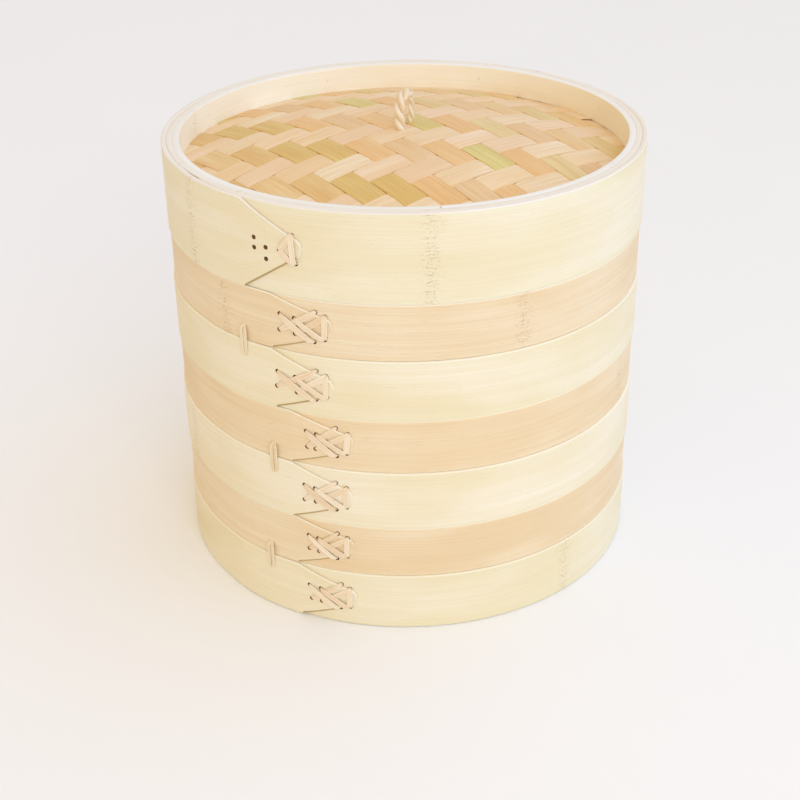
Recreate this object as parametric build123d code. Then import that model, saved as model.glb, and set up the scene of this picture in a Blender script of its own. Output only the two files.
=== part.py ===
from build123d import *

import math
import os

# Three-tier bamboo steamer with a woven lid, 240 mm across.
#
# The stack stands on the ring of its bottom tier. +Z is up, the origin is the centre of that ring
# on the surface it stands on, and the laced ends of the hoops face -Y, a little towards -X.
# Angles round the stack are in degrees from -Y, positive towards +X.

# ---- driving dimensions, in millimetres --------------------------------------------------

HOOP_INSIDE_R = 117.4      # where every outer hoop hugs the wall
BROAD_HOOP_T = 2.6         # lid hoop and lower tier hoops
THIN_HOOP_T = 1.8          # upper tier hoops, which stand back a little
WALL_T = 2.6               # inner wall of a tier
LINER_T = 3.2              # clamp and support rings inside the wall
LOWER_H = 30.8             # height of a tier's lower hoop
UPPER_H = 28.0
TIER_H = LOWER_H + UPPER_H
LID_H = 43.0
TIERS = ("bottom", "middle", "top")

NEST_H = 8.0               # how far a wall stands up inside the piece above
NEST_RELIEF = 0.3          # play round a lip, planed off the inside of the skirt
SEAT_GAP = 0.3             # between the end of a wall and the lip below it
HOOP_GAP = 0.15            # seam between one tier's hoops and the next tier's

WALL_OUT_R = HOOP_INSIDE_R
WALL_IN_R = WALL_OUT_R - WALL_T
LINER_IN_R = WALL_IN_R - LINER_T

# bent-strip hoops: one turn, then a thinned tongue laid over the thinned start
OVERLAP_DEG = 30.0
SKIVE_DEG = 20.0           # length over which an end is thinned
LIFT_DEG = 10.0            # where the strip rises on to its own start
SKIVED_T = 0.8
LAP_GAP = 0.1
TAPER_DEG = 15.0           # sloped edges of the tongue
TIP_H = 10.0               # height left at the tip of the tongue
TIP_RISE = 0.8             # the tip is cut this far above the middle of a tier hoop
LID_TIP_RISE = 2.3
HOLE_R = 1.1
LEG_R = 0.7
STITCH_W = 1.7
STITCH_T = 0.7

# floor of a tier
BAR_X = 46.0               # cross bars, each side of the middle
BAR_W = 12.0
BAR_T = 5.6
SLAT_COUNT = 13
SLAT_W = 12.5
SLAT_PITCH = 17.0
SLAT_T = 3.2
SUPPORT_LOW = NEST_H + SEAT_GAP
SUPPORT_TOP = 17.0
BAR_PLAY = 0.1             # round a bar's end in its notch
FLOOR_TOP = SUPPORT_TOP + SLAT_T
CLAMP_TOP = 40.0
SLAT_END_R = WALL_IN_R - 0.3
LASH_W = 2.4
LASH_T = 0.8

# pins and ties
PIN_R = 1.2
PIN_HOLE_R = 1.25
PIN_COUNT = 8
CLAMP_PIN_Z = 30.0
SUPPORT_PIN_Z = 12.6
TIE_REACH = 7.5            # from the seam between two hoops to each hole of a tie
TIE_W = 2.4
TIE_T = 0.8

# lid
DOME_RISE = 13.5
LID_RING_IN_R = 111.2
LID_LINER_R = 114.4        # between the inner hoop and the rings that grip the weave
WEAVE_T = 1.5
LEAF_T = 0.5
UNDER_WEAVE_T = 1.2
WEAVE_EDGE_R = 114.1
LOOP_CORD_R = 2.6
LOOP_HALF_W = 6.6          # from the middle of the loop to the middle of each leg
LOOP_TOP = 18.5            # above the rim of the lid
LOOP_YAW = 20.0
LOOP_AT = (2.0, -0.5)      # the loop is not quite in the middle
PEG_R = 3.9
PEG_L = 34.0

# where each hoop's tongue ends, and where the ties are
LID_TIP = -22.1
TIPS = {"bottom": (-12.4, -12.8), "middle": (-12.7, -12.2), "top": (-16.1, -16.1)}  # lower, upper
TIES = {"bottom": -34.7, "middle": -31.9, "top": -38.4}

# holes of a laced joint: degrees back from the tip, height above the middle of the hoop
LEFT_PAIR = {"bottom": (11.6, 11.0), "middle": (11.4, 11.0), "top": (13.6, 12.4)}  # lower, upper
JOINT_HOLES = {
    "mid_up": (8.7, 3.8), "mid_down": (8.8, -4.0),
    "right_up": (3.8, 8.2), "end_up": (1.5, 6.2),
    "right_down": (4.3, -6.8), "end_down": (1.7, -5.0),
}
JOINT_STITCHES = [
    ("left_up", "right_down"), ("mid_up", "end_down"),
    ("left_down", "right_up"), ("mid_down", "end_up"), ("end_up", "end_down"),
]
# the lid has lost part of its lacing, so four of its holes stand empty
LID_HOLES = {
    "left_up": (11.6, 4.2), "left_down": (11.6, -0.6), "mid_up": (8.2, 0.8), "mid_down": (8.5, -5.0),
    "near": (5.2, 0.7), "end_up": (1.9, 8.3), "end_down": (1.6, -5.0),
}
LID_STITCHES = [("near", "end_up"), ("near", "end_down"), ("end_up", "end_down")]

TOP_Z = TIER_H * len(TIERS) + LID_H


# ---- helpers -----------------------------------------------------------------------------

def on_ring(radius, degrees, z=0.0):
    """The point at a radius and an angle from -Y."""
    a = math.radians(degrees)
    return Vector(radius * math.sin(a), -radius * math.cos(a), z)


def facing_out(degrees, z=0.0):
    """A plane on the axis whose normal points out at an angle, with its own x level and its own y up."""
    a = math.radians(degrees)
    return Plane(origin=(0, 0, z), x_dir=(math.cos(a), math.sin(a), 0), z_dir=(math.sin(a), -math.cos(a), 0))


def ring(inner, outer, low, high):
    """A plain closed ring."""
    band = Cylinder(outer, high - low) - Cylinder(inner, high - low)
    return Pos(0, 0, (low + high) / 2) * band


def spoke(radius, degrees, z, inner, outer):
    """A round rod lying along a radius, from one radius to another."""
    return extrude(facing_out(degrees, z).offset(inner) * Circle(radius), outer - inner)


def patch(corners, inner, outer, degrees, z):
    """A flat outline, drawn on the tangent at an angle, cut out of the shell between two radii."""
    outline = facing_out(degrees, z).offset(inner - 6) * make_face(Polyline(*corners, close=True))
    plate = extrude(outline, outer - inner + 12)
    shell = Cylinder(outer, 200) - Cylinder(inner, 200)
    return plate & (Pos(0, 0, z) * shell)


# ---- bent hoops --------------------------------------------------------------------------

def start_t(turned, full):
    """Thickness of the thinned start of a strip, by how many degrees along it."""
    return SKIVED_T + (full - SKIVED_T) * min(1.0, max(0.0, turned) / SKIVE_DEG)


def tongue_t(turned, full):
    """Thickness of the tongue, by how many degrees past one full turn."""
    return full - (full - tip_t(full)) * min(1.0, turned / SKIVE_DEG)


def tip_t(full):
    return 0.46 * full


def lap_outside(full):
    """Radius of the outer face of the last stretch of a tongue."""
    return HOOP_INSIDE_R + full + LAP_GAP + tip_t(full)


def outer_face(degrees, tip, full):
    """Radius of a hoop's outer face at an angle: higher where the tongue lies on the start."""
    turned = (degrees - (tip - OVERLAP_DEG)) % 360
    if turned > OVERLAP_DEG:
        return HOOP_INSIDE_R + full
    return HOOP_INSIDE_R + start_t(turned, full) + LAP_GAP + tongue_t(turned, full)


def strip_plan(tip, full):
    """The two plan outlines of a bent strip: its first full turn, and its tongue."""
    first = tip - OVERLAP_DEG
    lifted = HOOP_INSIDE_R + SKIVED_T + LAP_GAP

    def at(radius, turned):
        return on_ring(radius, first + turned)

    def arc(radius, a, b):
        return ThreePointArc(at(radius, a), at(radius, (a + b) / 2), at(radius, b))

    def curve(radius_of, a, b, steps=4):
        stations = [a + (b - a) * i / steps for i in range(steps + 1)]
        return Spline(*[at(radius_of(u), u) for u in stations])

    def rise(turned):
        share = (turned - (360 - LIFT_DEG)) / LIFT_DEG
        return (lifted - HOOP_INSIDE_R) * share * share * (3 - 2 * share)

    outside = HOOP_INSIDE_R + full
    turn = [
        arc(HOOP_INSIDE_R, 0, 175), arc(HOOP_INSIDE_R, 175, 360 - LIFT_DEG),
        curve(lambda u: HOOP_INSIDE_R + rise(u), 360 - LIFT_DEG, 360),
        Line(at(lifted, 360), at(lifted + full, 360)),
        curve(lambda u: outside + rise(u), 360, 360 - LIFT_DEG),
        arc(outside, 360 - LIFT_DEG, 185), arc(outside, 185, SKIVE_DEG),
        curve(lambda u: HOOP_INSIDE_R + start_t(u, full), SKIVE_DEG, 0),
        Line(at(HOOP_INSIDE_R + SKIVED_T, 0), at(HOOP_INSIDE_R, 0)),
    ]
    under = HOOP_INSIDE_R + full + LAP_GAP
    tongue = [
        curve(lambda u: HOOP_INSIDE_R + start_t(u, full) + LAP_GAP, 0, SKIVE_DEG),
        arc(under, SKIVE_DEG, OVERLAP_DEG),
        Line(at(under, OVERLAP_DEG), at(lap_outside(full), OVERLAP_DEG)),
        arc(lap_outside(full), OVERLAP_DEG, SKIVE_DEG),
        curve(lambda u: HOOP_INSIDE_R + start_t(u, full) + LAP_GAP + tongue_t(u, full), SKIVE_DEG, 0),
        Line(at(lifted + full, 0), at(lifted, 0)),
    ]
    return make_face(Wire(turn)), make_face(Wire(tongue))


def tongue_outline(height, tip, rise):
    """The tongue's side view, tapered to a blunt round tip above the middle, as a prism through it."""
    middle = tip - TAPER_DEG / 2
    reach = HOOP_INSIDE_R + BROAD_HOOP_T

    def x(back):
        return reach * math.sin(math.radians(tip - back - middle))

    half, blunt = height / 2, TIP_H / 2
    back_x = x(OVERLAP_DEG) - 12
    upper = [(x(1.6), rise + blunt), (x(TAPER_DEG), half), (back_x, half)]
    lower = [(back_x, -half), (x(TAPER_DEG), -half), (x(1.6), rise - blunt)]
    outline = Polyline(*upper, *lower)
    nose = ThreePointArc(lower[-1], (x(0), rise), upper[0])
    flat = make_face(Wire([*outline.edges(), nose]))
    return extrude(facing_out(middle).offset(HOOP_INSIDE_R - 30) * flat, 60)


def bent_hoop(tip, low, height, full, holes, rise):
    """A hoop of one bent strip with laced, overlapping ends.

    holes maps a name to (degrees back from the tip, height above the middle of the hoop).
    """
    turn, tongue = strip_plan(tip, full)
    middle = low + height / 2
    band = Pos(0, 0, low) * extrude(turn, height)
    outline = Pos(0, 0, middle) * tongue_outline(height, tip, rise)
    flap = (Pos(0, 0, low) * extrude(tongue, height)) & outline
    hoop = band + flap
    for back, up in holes.values():
        hoop -= spoke(HOLE_R, tip - back, middle + up, HOOP_INSIDE_R - 2, HOOP_INSIDE_R + 10)
    return hoop


def lacing(tip, middle, full, holes, stitches):
    """Flat splints over the tongue, with legs down through the holes of both laps."""
    base = lap_outside(full) + 0.05
    centre = tip - TAPER_DEG / 2

    def flat(name):
        back, up = holes[name]
        return Vector(base * math.sin(math.radians(tip - back - centre)), up)

    outline = Sketch()
    for start, end in [(flat(a), flat(b)) for a, b in stitches]:
        run = end - start
        half_way = (start + end) / 2
        turn = math.degrees(math.atan2(run.Y, run.X))
        outline += Pos(half_way.X, half_way.Y) * Rot(0, 0, turn) * SlotCenterToCenter(run.length, STITCH_W)
    plate = extrude(facing_out(centre, middle).offset(base - 4) * outline, 8)
    laced = plate & (Pos(0, 0, middle) * (Cylinder(base + STITCH_T, 60) - Cylinder(base, 60)))
    for name in sorted({name for pair in stitches for name in pair}):
        back, up = holes[name]
        laced += spoke(LEG_R, tip - back, middle + up, HOOP_INSIDE_R + 0.05, base + STITCH_T / 2)
    return laced


# ---- rings, floor and pins ---------------------------------------------------------------

def scarf_slot(inner, low, high, degrees):
    """The slanting cut where the thinned ends of a wall strip lie on each other."""
    plane = facing_out(degrees, low).offset(inner)
    cut = plane * Pos(20, (high - low) / 2, 0.2) * Box(44, high - low + 2, 0.15)
    return cut


def butt_slot(radius, low, high, degrees):
    """The narrow gap between the two ends of a sprung-in ring."""
    height = high - low
    return facing_out(degrees, low).offset(radius) * Pos(0, height / 2, 0) * Box(0.8, height + 2, 20)


def pin_places():
    """Where a tier is pinned: (degrees, height), one row through each ring and half a step apart."""
    step = 360 / PIN_COUNT
    clamp_row = [(step * (i + 0.5), CLAMP_PIN_Z) for i in range(PIN_COUNT)]
    support_row = [(step * i, SUPPORT_PIN_Z) for i in range(PIN_COUNT)]
    return clamp_row + support_row


def drill_pins(shape, places, base, inner, outer):
    for degrees, height in places:
        shape -= spoke(PIN_HOLE_R, degrees, base + height, inner, outer)
    return shape


def pins(places, base, inner):
    """Bamboo nails lying along radii, hidden outside by the hoops."""
    return Compound([spoke(PIN_R, a, base + z, inner, WALL_OUT_R - 0.05) for a, z in places])


def tie_angles(tier):
    return (TIES[tier], TIES[tier] + 180)


def tie_run_radius(tier, degrees):
    """Radius that a tie has to clear on its way over both hoops."""
    lower_tip, upper_tip = TIPS[tier]
    lower = outer_face(degrees, lower_tip, BROAD_HOOP_T)
    upper = outer_face(degrees, upper_tip, THIN_HOOP_T)
    return max(lower, upper) + 0.1


def tie_holes(tier, base, inner, outer):
    """Rods that open the holes for this tier's ties."""
    rods = []
    for degrees in tie_angles(tier):
        for side in (-1, 1):
            rods.append(spoke(HOLE_R, degrees, base + LOWER_H + side * TIE_REACH, inner, outer))
    return rods


def ties(tier, base):
    """Splints that bind a tier's two hoops, wall and clamp ring together, one each side."""
    seam = base + LOWER_H
    half_w, half_h = TIE_W / 2, TIE_REACH + 0.95
    corners = [(-half_w, -half_h), (half_w, -half_h), (half_w, half_h), (-half_w, half_h)]
    made = []
    for degrees in tie_angles(tier):
        outside = tie_run_radius(tier, degrees)
        inside = LINER_IN_R - 0.05
        tie = patch(corners, outside, outside + TIE_T, degrees, seam)
        tie += patch(corners, inside - TIE_T, inside, degrees, seam)
        for side in (-1, 1):
            height = seam + side * TIE_REACH
            tie += spoke(LEG_R, degrees, height, inside - TIE_T / 2, outside + TIE_T / 2)
        made.append(tie)
    return Compound(made)


def tier_wall(tier, base):
    """The tall strip that the hoops hug, standing up as a lip for the piece above."""
    low, high = base + NEST_H + SEAT_GAP, base + TIER_H + NEST_H
    wall = ring(WALL_IN_R, WALL_OUT_R, low, high)
    rims = wall.edges().filter_by(GeomType.CIRCLE).group_by(Axis.Z)[-1]
    wall = chamfer(rims, 0.5)
    wall -= scarf_slot(WALL_IN_R, low, high, 100)
    wall = drill_pins(wall, pin_places(), base, WALL_IN_R - 2, WALL_OUT_R + 2)
    for rod in tie_holes(tier, base, WALL_IN_R - 2, WALL_OUT_R + 2):
        wall -= rod
    return wall


def clamp_ring(tier, base):
    """The ring above the slats that holds them down."""
    low, high = base + FLOOR_TOP, base + CLAMP_TOP
    made = ring(LINER_IN_R, WALL_IN_R, low, high) - butt_slot(WALL_IN_R, low, high, 160)
    made = drill_pins(made, pin_places(), base, LINER_IN_R - 2, WALL_IN_R + 2)
    for rod in tie_holes(tier, base, LINER_IN_R - 2, WALL_IN_R + 2):
        made -= rod
    return made


def bar_half_length(x):
    """Half the length of a cross bar, to just short of the wall at its outer corner."""
    return math.sqrt(SLAT_END_R ** 2 - (abs(x) + BAR_W / 2) ** 2)


def support_ring(base):
    """The ring under the slats, notched for the ends of the cross bars."""
    low, high = base + SUPPORT_LOW, base + SUPPORT_TOP
    made = ring(LINER_IN_R, WALL_IN_R, low, high) - butt_slot(WALL_IN_R, low, high, 75)
    notch = BAR_T + BAR_PLAY
    for x in (-BAR_X, BAR_X):
        made -= Pos(x, 0, high + 1 - notch / 2) * Box(BAR_W + 2 * BAR_PLAY, 2 * WALL_IN_R, notch + 2)
    return drill_pins(made, pin_places(), base, LINER_IN_R - 2, WALL_IN_R + 2)


def cross_bar(x, base):
    """A half-round bar under the slats, flat side up."""
    half = bar_half_length(x)
    top = base + SUPPORT_TOP
    low = top - BAR_T
    profile = make_face(Wire([
        Line((-BAR_W / 2, 0), (BAR_W / 2, 0)),
        Line((BAR_W / 2, 0), (BAR_W / 2, -1.6)),
        ThreePointArc((BAR_W / 2, -1.6), (0, low - top), (-BAR_W / 2, -1.6)),
        Line((-BAR_W / 2, -1.6), (-BAR_W / 2, 0)),
    ]))
    return extrude(Plane(origin=(x, half, top), x_dir=(1, 0, 0), z_dir=(0, -1, 0)) * profile, 2 * half)


def slat_y():
    return [SLAT_PITCH * (i - (SLAT_COUNT - 1) / 2) for i in range(SLAT_COUNT)]


def slats(base):
    """Flat slats from side to side, ends rounded to the wall."""
    middle = base + SUPPORT_TOP + SLAT_T / 2
    disc = Pos(0, 0, middle) * Cylinder(SLAT_END_R, SLAT_T)
    return Compound([(Pos(0, y, middle) * Box(2 * SLAT_END_R, SLAT_W, SLAT_T)) & disc for y in slat_y()])


def floor_lashing(x, base):
    """A splint wound round one bar and its slats: down through every gap, slanting over every slat."""
    top = base + FLOOR_TOP + 0.05
    low = base + SUPPORT_TOP - BAR_T - 0.05
    side = BAR_W / 2 + 0.1 + LASH_T / 2
    inner = SLAT_COUNT - 2
    gaps = [SLAT_PITCH * (i - inner / 2) for i in range(inner + 1)]
    made = None
    for y in gaps:
        loop = Pos(x, y, low - LASH_T / 2) * Box(2 * side + LASH_T, LASH_W, LASH_T)
        for sign in (-1, 1):
            loop += Pos(x + sign * side, y, (low + top) / 2) * Box(LASH_T, LASH_W, top - low + 2 * LASH_T)
        made = loop if made is None else made + loop
    turn = math.degrees(math.atan2(SLAT_PITCH, 2 * side))
    length = math.hypot(SLAT_PITCH, 2 * side)
    for a, b in zip(gaps, gaps[1:]):
        run = Pos(x, (a + b) / 2, top + LASH_T / 2) * Rot(0, 0, turn) * Box(length, LASH_W, LASH_T)
        made += run
    return made


def drill_ties(hoop, tier, base):
    for rod in tie_holes(tier, base, HOOP_INSIDE_R - 2, HOOP_INSIDE_R + 10):
        hoop -= rod
    return hoop


def joint_holes(left_back):
    """The holes of a tier joint, with its left pair so many degrees back from the tip."""
    return {"left_up": (left_back, 4.4), "left_down": (left_back, -3.6), **JOINT_HOLES}


def tier_parts(tier, base):
    """Every piece of one tier, by node name."""
    lower_tip, upper_tip = TIPS[tier]
    lower_holes, upper_holes = [joint_holes(back) for back in LEFT_PAIR[tier]]
    seam = base + LOWER_H
    lower_middle = base + LOWER_H / 2
    lower = bent_hoop(lower_tip, base, LOWER_H, BROAD_HOOP_T, lower_holes, TIP_RISE)
    lower -= Pos(0, 0, base + NEST_H / 2) * Cylinder(HOOP_INSIDE_R + NEST_RELIEF, NEST_H)
    upper = bent_hoop(upper_tip, seam, UPPER_H - HOOP_GAP, THIN_HOOP_T, upper_holes, TIP_RISE)
    upper_middle = seam + (UPPER_H - HOOP_GAP) / 2
    parts = {
        "lower_hoop": drill_ties(lower, tier, base),
        "upper_hoop": drill_ties(upper, tier, base),
        "inner_wall": tier_wall(tier, base),
        "clamp_ring": clamp_ring(tier, base),
        "support_ring": support_ring(base),
        "left_cross_bar": cross_bar(-BAR_X, base),
        "right_cross_bar": cross_bar(BAR_X, base),
        "floor_slats": slats(base),
        "floor_lashings": Compound([floor_lashing(x, base) for x in (-BAR_X, BAR_X)]),
        "wall_pins": pins(pin_places(), base, LINER_IN_R - 0.5),
        "hoop_ties": ties(tier, base),
        "lower_hoop_lacing": lacing(lower_tip, lower_middle, BROAD_HOOP_T, lower_holes, JOINT_STITCHES),
        "upper_hoop_lacing": lacing(upper_tip, upper_middle, THIN_HOOP_T, upper_holes, JOINT_STITCHES),
    }
    return {f"{tier}_tier_{name}": shape for name, shape in parts.items()}


# ---- lid ---------------------------------------------------------------------------------

def dome_radius():
    return (LID_RING_IN_R ** 2 + DOME_RISE ** 2) / (2 * DOME_RISE)


def dome_z(radius, depth=0.0):
    """Height of the woven dome at a radius, or of a layer so far below its top."""
    sphere = dome_radius() - depth
    return TOP_Z - dome_radius() + math.sqrt(sphere ** 2 - radius ** 2)


def dome_layer(depth, thickness):
    """One layer of the dome, between two spheres, with holes for the legs of the loop."""
    centre = TOP_Z - dome_radius()
    shell = Sphere(dome_radius() - depth) - Sphere(dome_radius() - depth - thickness)
    layer = (Pos(0, 0, centre) * shell) & (Pos(0, 0, TOP_Z) * Cylinder(WEAVE_EDGE_R, 60))
    for place in loop_legs():
        layer -= Pos(place.X, place.Y, TOP_Z) * Cylinder(LOOP_CORD_R + 0.15, 40)
    return layer


def loop_plane():
    """The upright plane that the loop stands in, with its own x along the width of the loop."""
    a = math.radians(90 - LOOP_YAW)
    across = (math.cos(a), math.sin(a), 0)
    return Plane(origin=(*LOOP_AT, 0), x_dir=across, z_dir=(math.sin(a), -math.cos(a), 0))


def loop_legs():
    return [loop_plane().from_local_coords(Vector(side * LOOP_HALF_W, 0, 0)) for side in (-1, 1)]


def loop_low_centre():
    """Height of the middle of the loop's lower bend, where the peg lies up against the weave."""
    return dome_z(PEG_L / 2, WEAVE_T + LEAF_T + UNDER_WEAVE_T) - 0.05 - PEG_R


def lid_loop():
    """A closed loop of twisted splint: it stands up through the weave and is held by a peg below."""
    high = TOP_Z + LOOP_TOP - LOOP_CORD_R - LOOP_HALF_W
    low = loop_low_centre()
    bend = loop_plane() * Torus(LOOP_HALF_W, LOOP_CORD_R)
    loop = (Pos(0, 0, high) * bend) & (Pos(0, 0, high + 25) * Box(60, 60, 50))
    loop += (Pos(0, 0, low) * bend) & (Pos(0, 0, low - 25) * Box(60, 60, 50))
    for place in loop_legs():
        loop += Pos(place.X, place.Y, (low + high) / 2) * Cylinder(LOOP_CORD_R, high - low)
    return loop


def loop_peg():
    """The bamboo peg through the loop's lower bend."""
    start = loop_plane().offset(-PEG_L / 2)
    return Pos(0, 0, loop_low_centre()) * extrude(start * Circle(PEG_R), PEG_L)


def lid_parts():
    """Every piece of the lid, by node name."""
    low = TIER_H * len(TIERS)
    inner_low = low + NEST_H + SEAT_GAP
    stack = WEAVE_T + LEAF_T + UNDER_WEAVE_T
    hoop = bent_hoop(LID_TIP, low, LID_H, BROAD_HOOP_T, LID_HOLES, LID_TIP_RISE)
    hoop -= Pos(0, 0, low + NEST_H / 2) * Cylinder(HOOP_INSIDE_R + NEST_RELIEF, NEST_H)
    inner = ring(LID_LINER_R, HOOP_INSIDE_R, inner_low, TOP_Z)
    inner -= scarf_slot(LID_LINER_R, inner_low, TOP_Z, 130)
    weave_low = dome_z(LID_RING_IN_R)
    upper = ring(LID_RING_IN_R, LID_LINER_R, weave_low, TOP_Z)
    upper -= butt_slot(LID_LINER_R, weave_low, TOP_Z, 8)
    under_top = dome_z(WEAVE_EDGE_R, stack)
    under = ring(LID_RING_IN_R, LID_LINER_R, inner_low + 1.0, under_top)
    under -= butt_slot(LID_LINER_R, inner_low, under_top, 205)
    places = []
    for height in ((weave_low + TOP_Z) / 2, (inner_low + under_top) / 2):
        places += [(360 / PIN_COUNT * (i + 0.5), height) for i in range(PIN_COUNT)]
    inner, upper, under = [
        drill_pins(piece, places, 0, LID_RING_IN_R - 2, HOOP_INSIDE_R + 2) for piece in (inner, upper, under)
    ]
    return {
        "lid_hoop": hoop,
        "lid_inner_hoop": inner,
        "lid_clamp_ring": upper,
        "lid_under_ring": under,
        "lid_woven_top": dome_layer(0, WEAVE_T),
        "lid_leaf_layer": dome_layer(WEAVE_T, LEAF_T),
        "lid_woven_lining": dome_layer(WEAVE_T + LEAF_T, UNDER_WEAVE_T),
        "lid_pins": pins(places, 0, LID_RING_IN_R),
        "lid_hoop_lacing": lacing(LID_TIP, low + LID_H / 2, BROAD_HOOP_T, LID_HOLES, LID_STITCHES),
        "lid_loop": lid_loop(),
        "lid_loop_peg": loop_peg(),
    }


# ---- write -------------------------------------------------------------------------------

def main():
    os.makedirs("parts", exist_ok=True)
    parts = lid_parts()
    for number, tier in enumerate(TIERS):
        parts.update(tier_parts(tier, number * TIER_H))
    for name, shape in parts.items():
        export_step(Compound(shape.solids()), f"parts/{name}.step")
    print(len(parts), "nodes")


main()
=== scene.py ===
# %% [markdown]
# # A bamboo steamer in three tiers, with a woven lid
#
# The steamer is a stack of round tiers. Each one is a bamboo wall hugged by two bent hoops, with a
# slatted floor that lets the steam through, and the lid is a hoop filled with woven splints.
# A CAD model already holds every size and how the pieces move. This lesson keeps those places and
# makes each piece again as a maker would see it: eased edges, real lacing, splints that cross.
# The CAD is the frame, and nothing in it is moved.

# %% Load the frame
import math
import random
from collections import namedtuple

import bmesh
import bpy
from mathutils import Matrix, Vector, noise


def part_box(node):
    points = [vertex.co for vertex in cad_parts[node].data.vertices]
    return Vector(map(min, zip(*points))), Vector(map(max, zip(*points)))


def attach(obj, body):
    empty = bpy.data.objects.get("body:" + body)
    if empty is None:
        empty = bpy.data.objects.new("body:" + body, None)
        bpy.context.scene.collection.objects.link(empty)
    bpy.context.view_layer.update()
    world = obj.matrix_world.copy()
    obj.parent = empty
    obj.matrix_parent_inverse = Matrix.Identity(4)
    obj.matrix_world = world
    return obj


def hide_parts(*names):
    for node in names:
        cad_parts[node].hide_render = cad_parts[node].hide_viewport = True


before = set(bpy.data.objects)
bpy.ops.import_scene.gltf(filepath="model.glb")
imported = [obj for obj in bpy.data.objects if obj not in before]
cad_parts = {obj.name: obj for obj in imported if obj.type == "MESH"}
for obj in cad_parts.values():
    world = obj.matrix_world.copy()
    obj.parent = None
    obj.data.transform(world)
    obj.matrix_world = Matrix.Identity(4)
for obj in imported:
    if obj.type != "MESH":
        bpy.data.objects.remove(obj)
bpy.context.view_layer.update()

# %% [markdown]
# ## The maker's measures
#
# Blender works in metres, and a steamer is made to the millimetre, so every size is written in
# millimetres and multiplied by MM. Angles round the stack run from the front, where the hoops are
# laced, in degrees. A few driving sizes place everything else, as they do on the bench.

# %% Sizes of the stack
MM = 0.001
HOOP_INSIDE = 117.4 * MM
BROAD_HOOP = 2.6 * MM
THIN_HOOP = 1.8 * MM
WALL = 2.6 * MM
LINER = 3.2 * MM
LOWER = 30.8 * MM
UPPER = 28.0 * MM
TIER = LOWER + UPPER
LID = 43.0 * MM
NEST = 8.0 * MM
SEAT_GAP = 0.3 * MM
WALL_INSIDE = HOOP_INSIDE - WALL
LINER_INSIDE = WALL_INSIDE - LINER
TIERS = ("bottom", "middle", "top")
STACK_TOP = TIER * len(TIERS)
RIM = STACK_TOP + LID
cad_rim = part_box("lid_hoop")[1][2]
print(f"stack {STACK_TOP / MM:.1f} mm, with the lid {RIM / MM:.1f} mm, CAD rim at {cad_rim / MM:.1f} mm")


def on_ring(radius, degrees, height=0.0):
    """The point at a radius and an angle from the front."""
    a = math.radians(degrees)
    return Vector((radius * math.sin(a), -radius * math.cos(a), height))


def ease(share):
    """A step from 0 to 1 with soft ends."""
    share = min(1.0, max(0.0, share))
    return share * share * (3 - 2 * share)


def waver(*place):
    """Smooth noise about 0, the same on every run."""
    return noise.noise(Vector((*place, 0.0, 0.0)[:3]))


# %% [markdown]
# ## Writing materials as short recipes
#
# A procedural material is a graph of small nodes. Two helpers keep each recipe short: one adds a
# node and fills its sockets by name or number, and one opens a node group with named sockets.
# Colours are written as a paint chart would give them, so they are turned into linear light first.

# %% Helpers for node recipes
def shade(red, green, blue):
    """A colour from 0-255 chart values, as linear light."""
    shares = [v / 255 for v in (red, green, blue)]
    linear = [v / 12.92 if v <= 0.04045 else ((v + 0.055) / 1.055) ** 2.4 for v in shares]
    return (*linear, 1.0)


def add(tree, kind, sockets=None, **settings):
    """Adds a node, sets its properties, and fills its sockets with values or links."""
    node = tree.nodes.new("ShaderNode" + kind)
    for name, value in settings.items():
        setattr(node, name, value)
    for socket, value in (sockets or {}).items():
        if isinstance(value, bpy.types.NodeSocket):
            tree.links.new(value, node.inputs[socket])
        else:
            node.inputs[socket].default_value = value
    return node


def sums(tree, operation, a, b=0.0, c=0.0):
    """One Math node's result."""
    return add(tree, "Math", {0: a, 1: b, 2: c}, operation=operation).outputs[0]


def stain(tree, amount, under, over):
    """One colour laid over another by an amount."""
    node = add(tree, "Mix", {"Factor": amount}, data_type="RGBA")
    for socket, value in ((node.inputs[6], under), (node.inputs[7], over)):
        if isinstance(value, bpy.types.NodeSocket):
            tree.links.new(value, socket)
        else:
            socket.default_value = value
    return node.outputs[2]


def steps(tree, value, low, high):
    """0 below low, 1 above high, smooth between."""
    settings = {"Value": value, "From Min": low, "From Max": high}
    return add(tree, "MapRange", settings, interpolation_type="SMOOTHSTEP").outputs[0]


def new_effect(name, inputs, outputs):
    """An empty node group. Its labels map to a kind, VECTOR or FLOAT, and for an input to a value too."""
    tree = bpy.data.node_groups.new(name, "ShaderNodeTree")
    kinds = {"VECTOR": "NodeSocketVector", "FLOAT": "NodeSocketFloat"}
    for label, (kind, value) in inputs.items():
        socket = tree.interface.new_socket(label, in_out="INPUT", socket_type=kinds[kind])
        if value is not None:
            socket.default_value = value
    for label, kind in outputs.items():
        tree.interface.new_socket(label, in_out="OUTPUT", socket_type=kinds[kind])
    start = tree.nodes.new("NodeGroupInput")
    end = tree.nodes.new("NodeGroupOutput")
    return tree, start.outputs, end.inputs


def place_effect(tree, effect, sockets):
    """Places a group in a material and returns its outputs."""
    node = tree.nodes.new("ShaderNodeGroup")
    node.node_tree = effect
    for socket, value in sockets.items():
        if isinstance(value, bpy.types.NodeSocket):
            tree.links.new(value, node.inputs[socket])
        else:
            node.inputs[socket].default_value = value
    return node.outputs


# %% [markdown]
# ## Fibres
#
# Split bamboo shows its fibres as long, fine lines that run with the strip. The lines could be
# painted on an image, but noise squeezed across the strip and stretched along it gives them at any
# length and never repeats. Every strip made below carries a UV map in metres, along and across, so
# the same group fits a hoop, a slat or a lacing splint.

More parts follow.
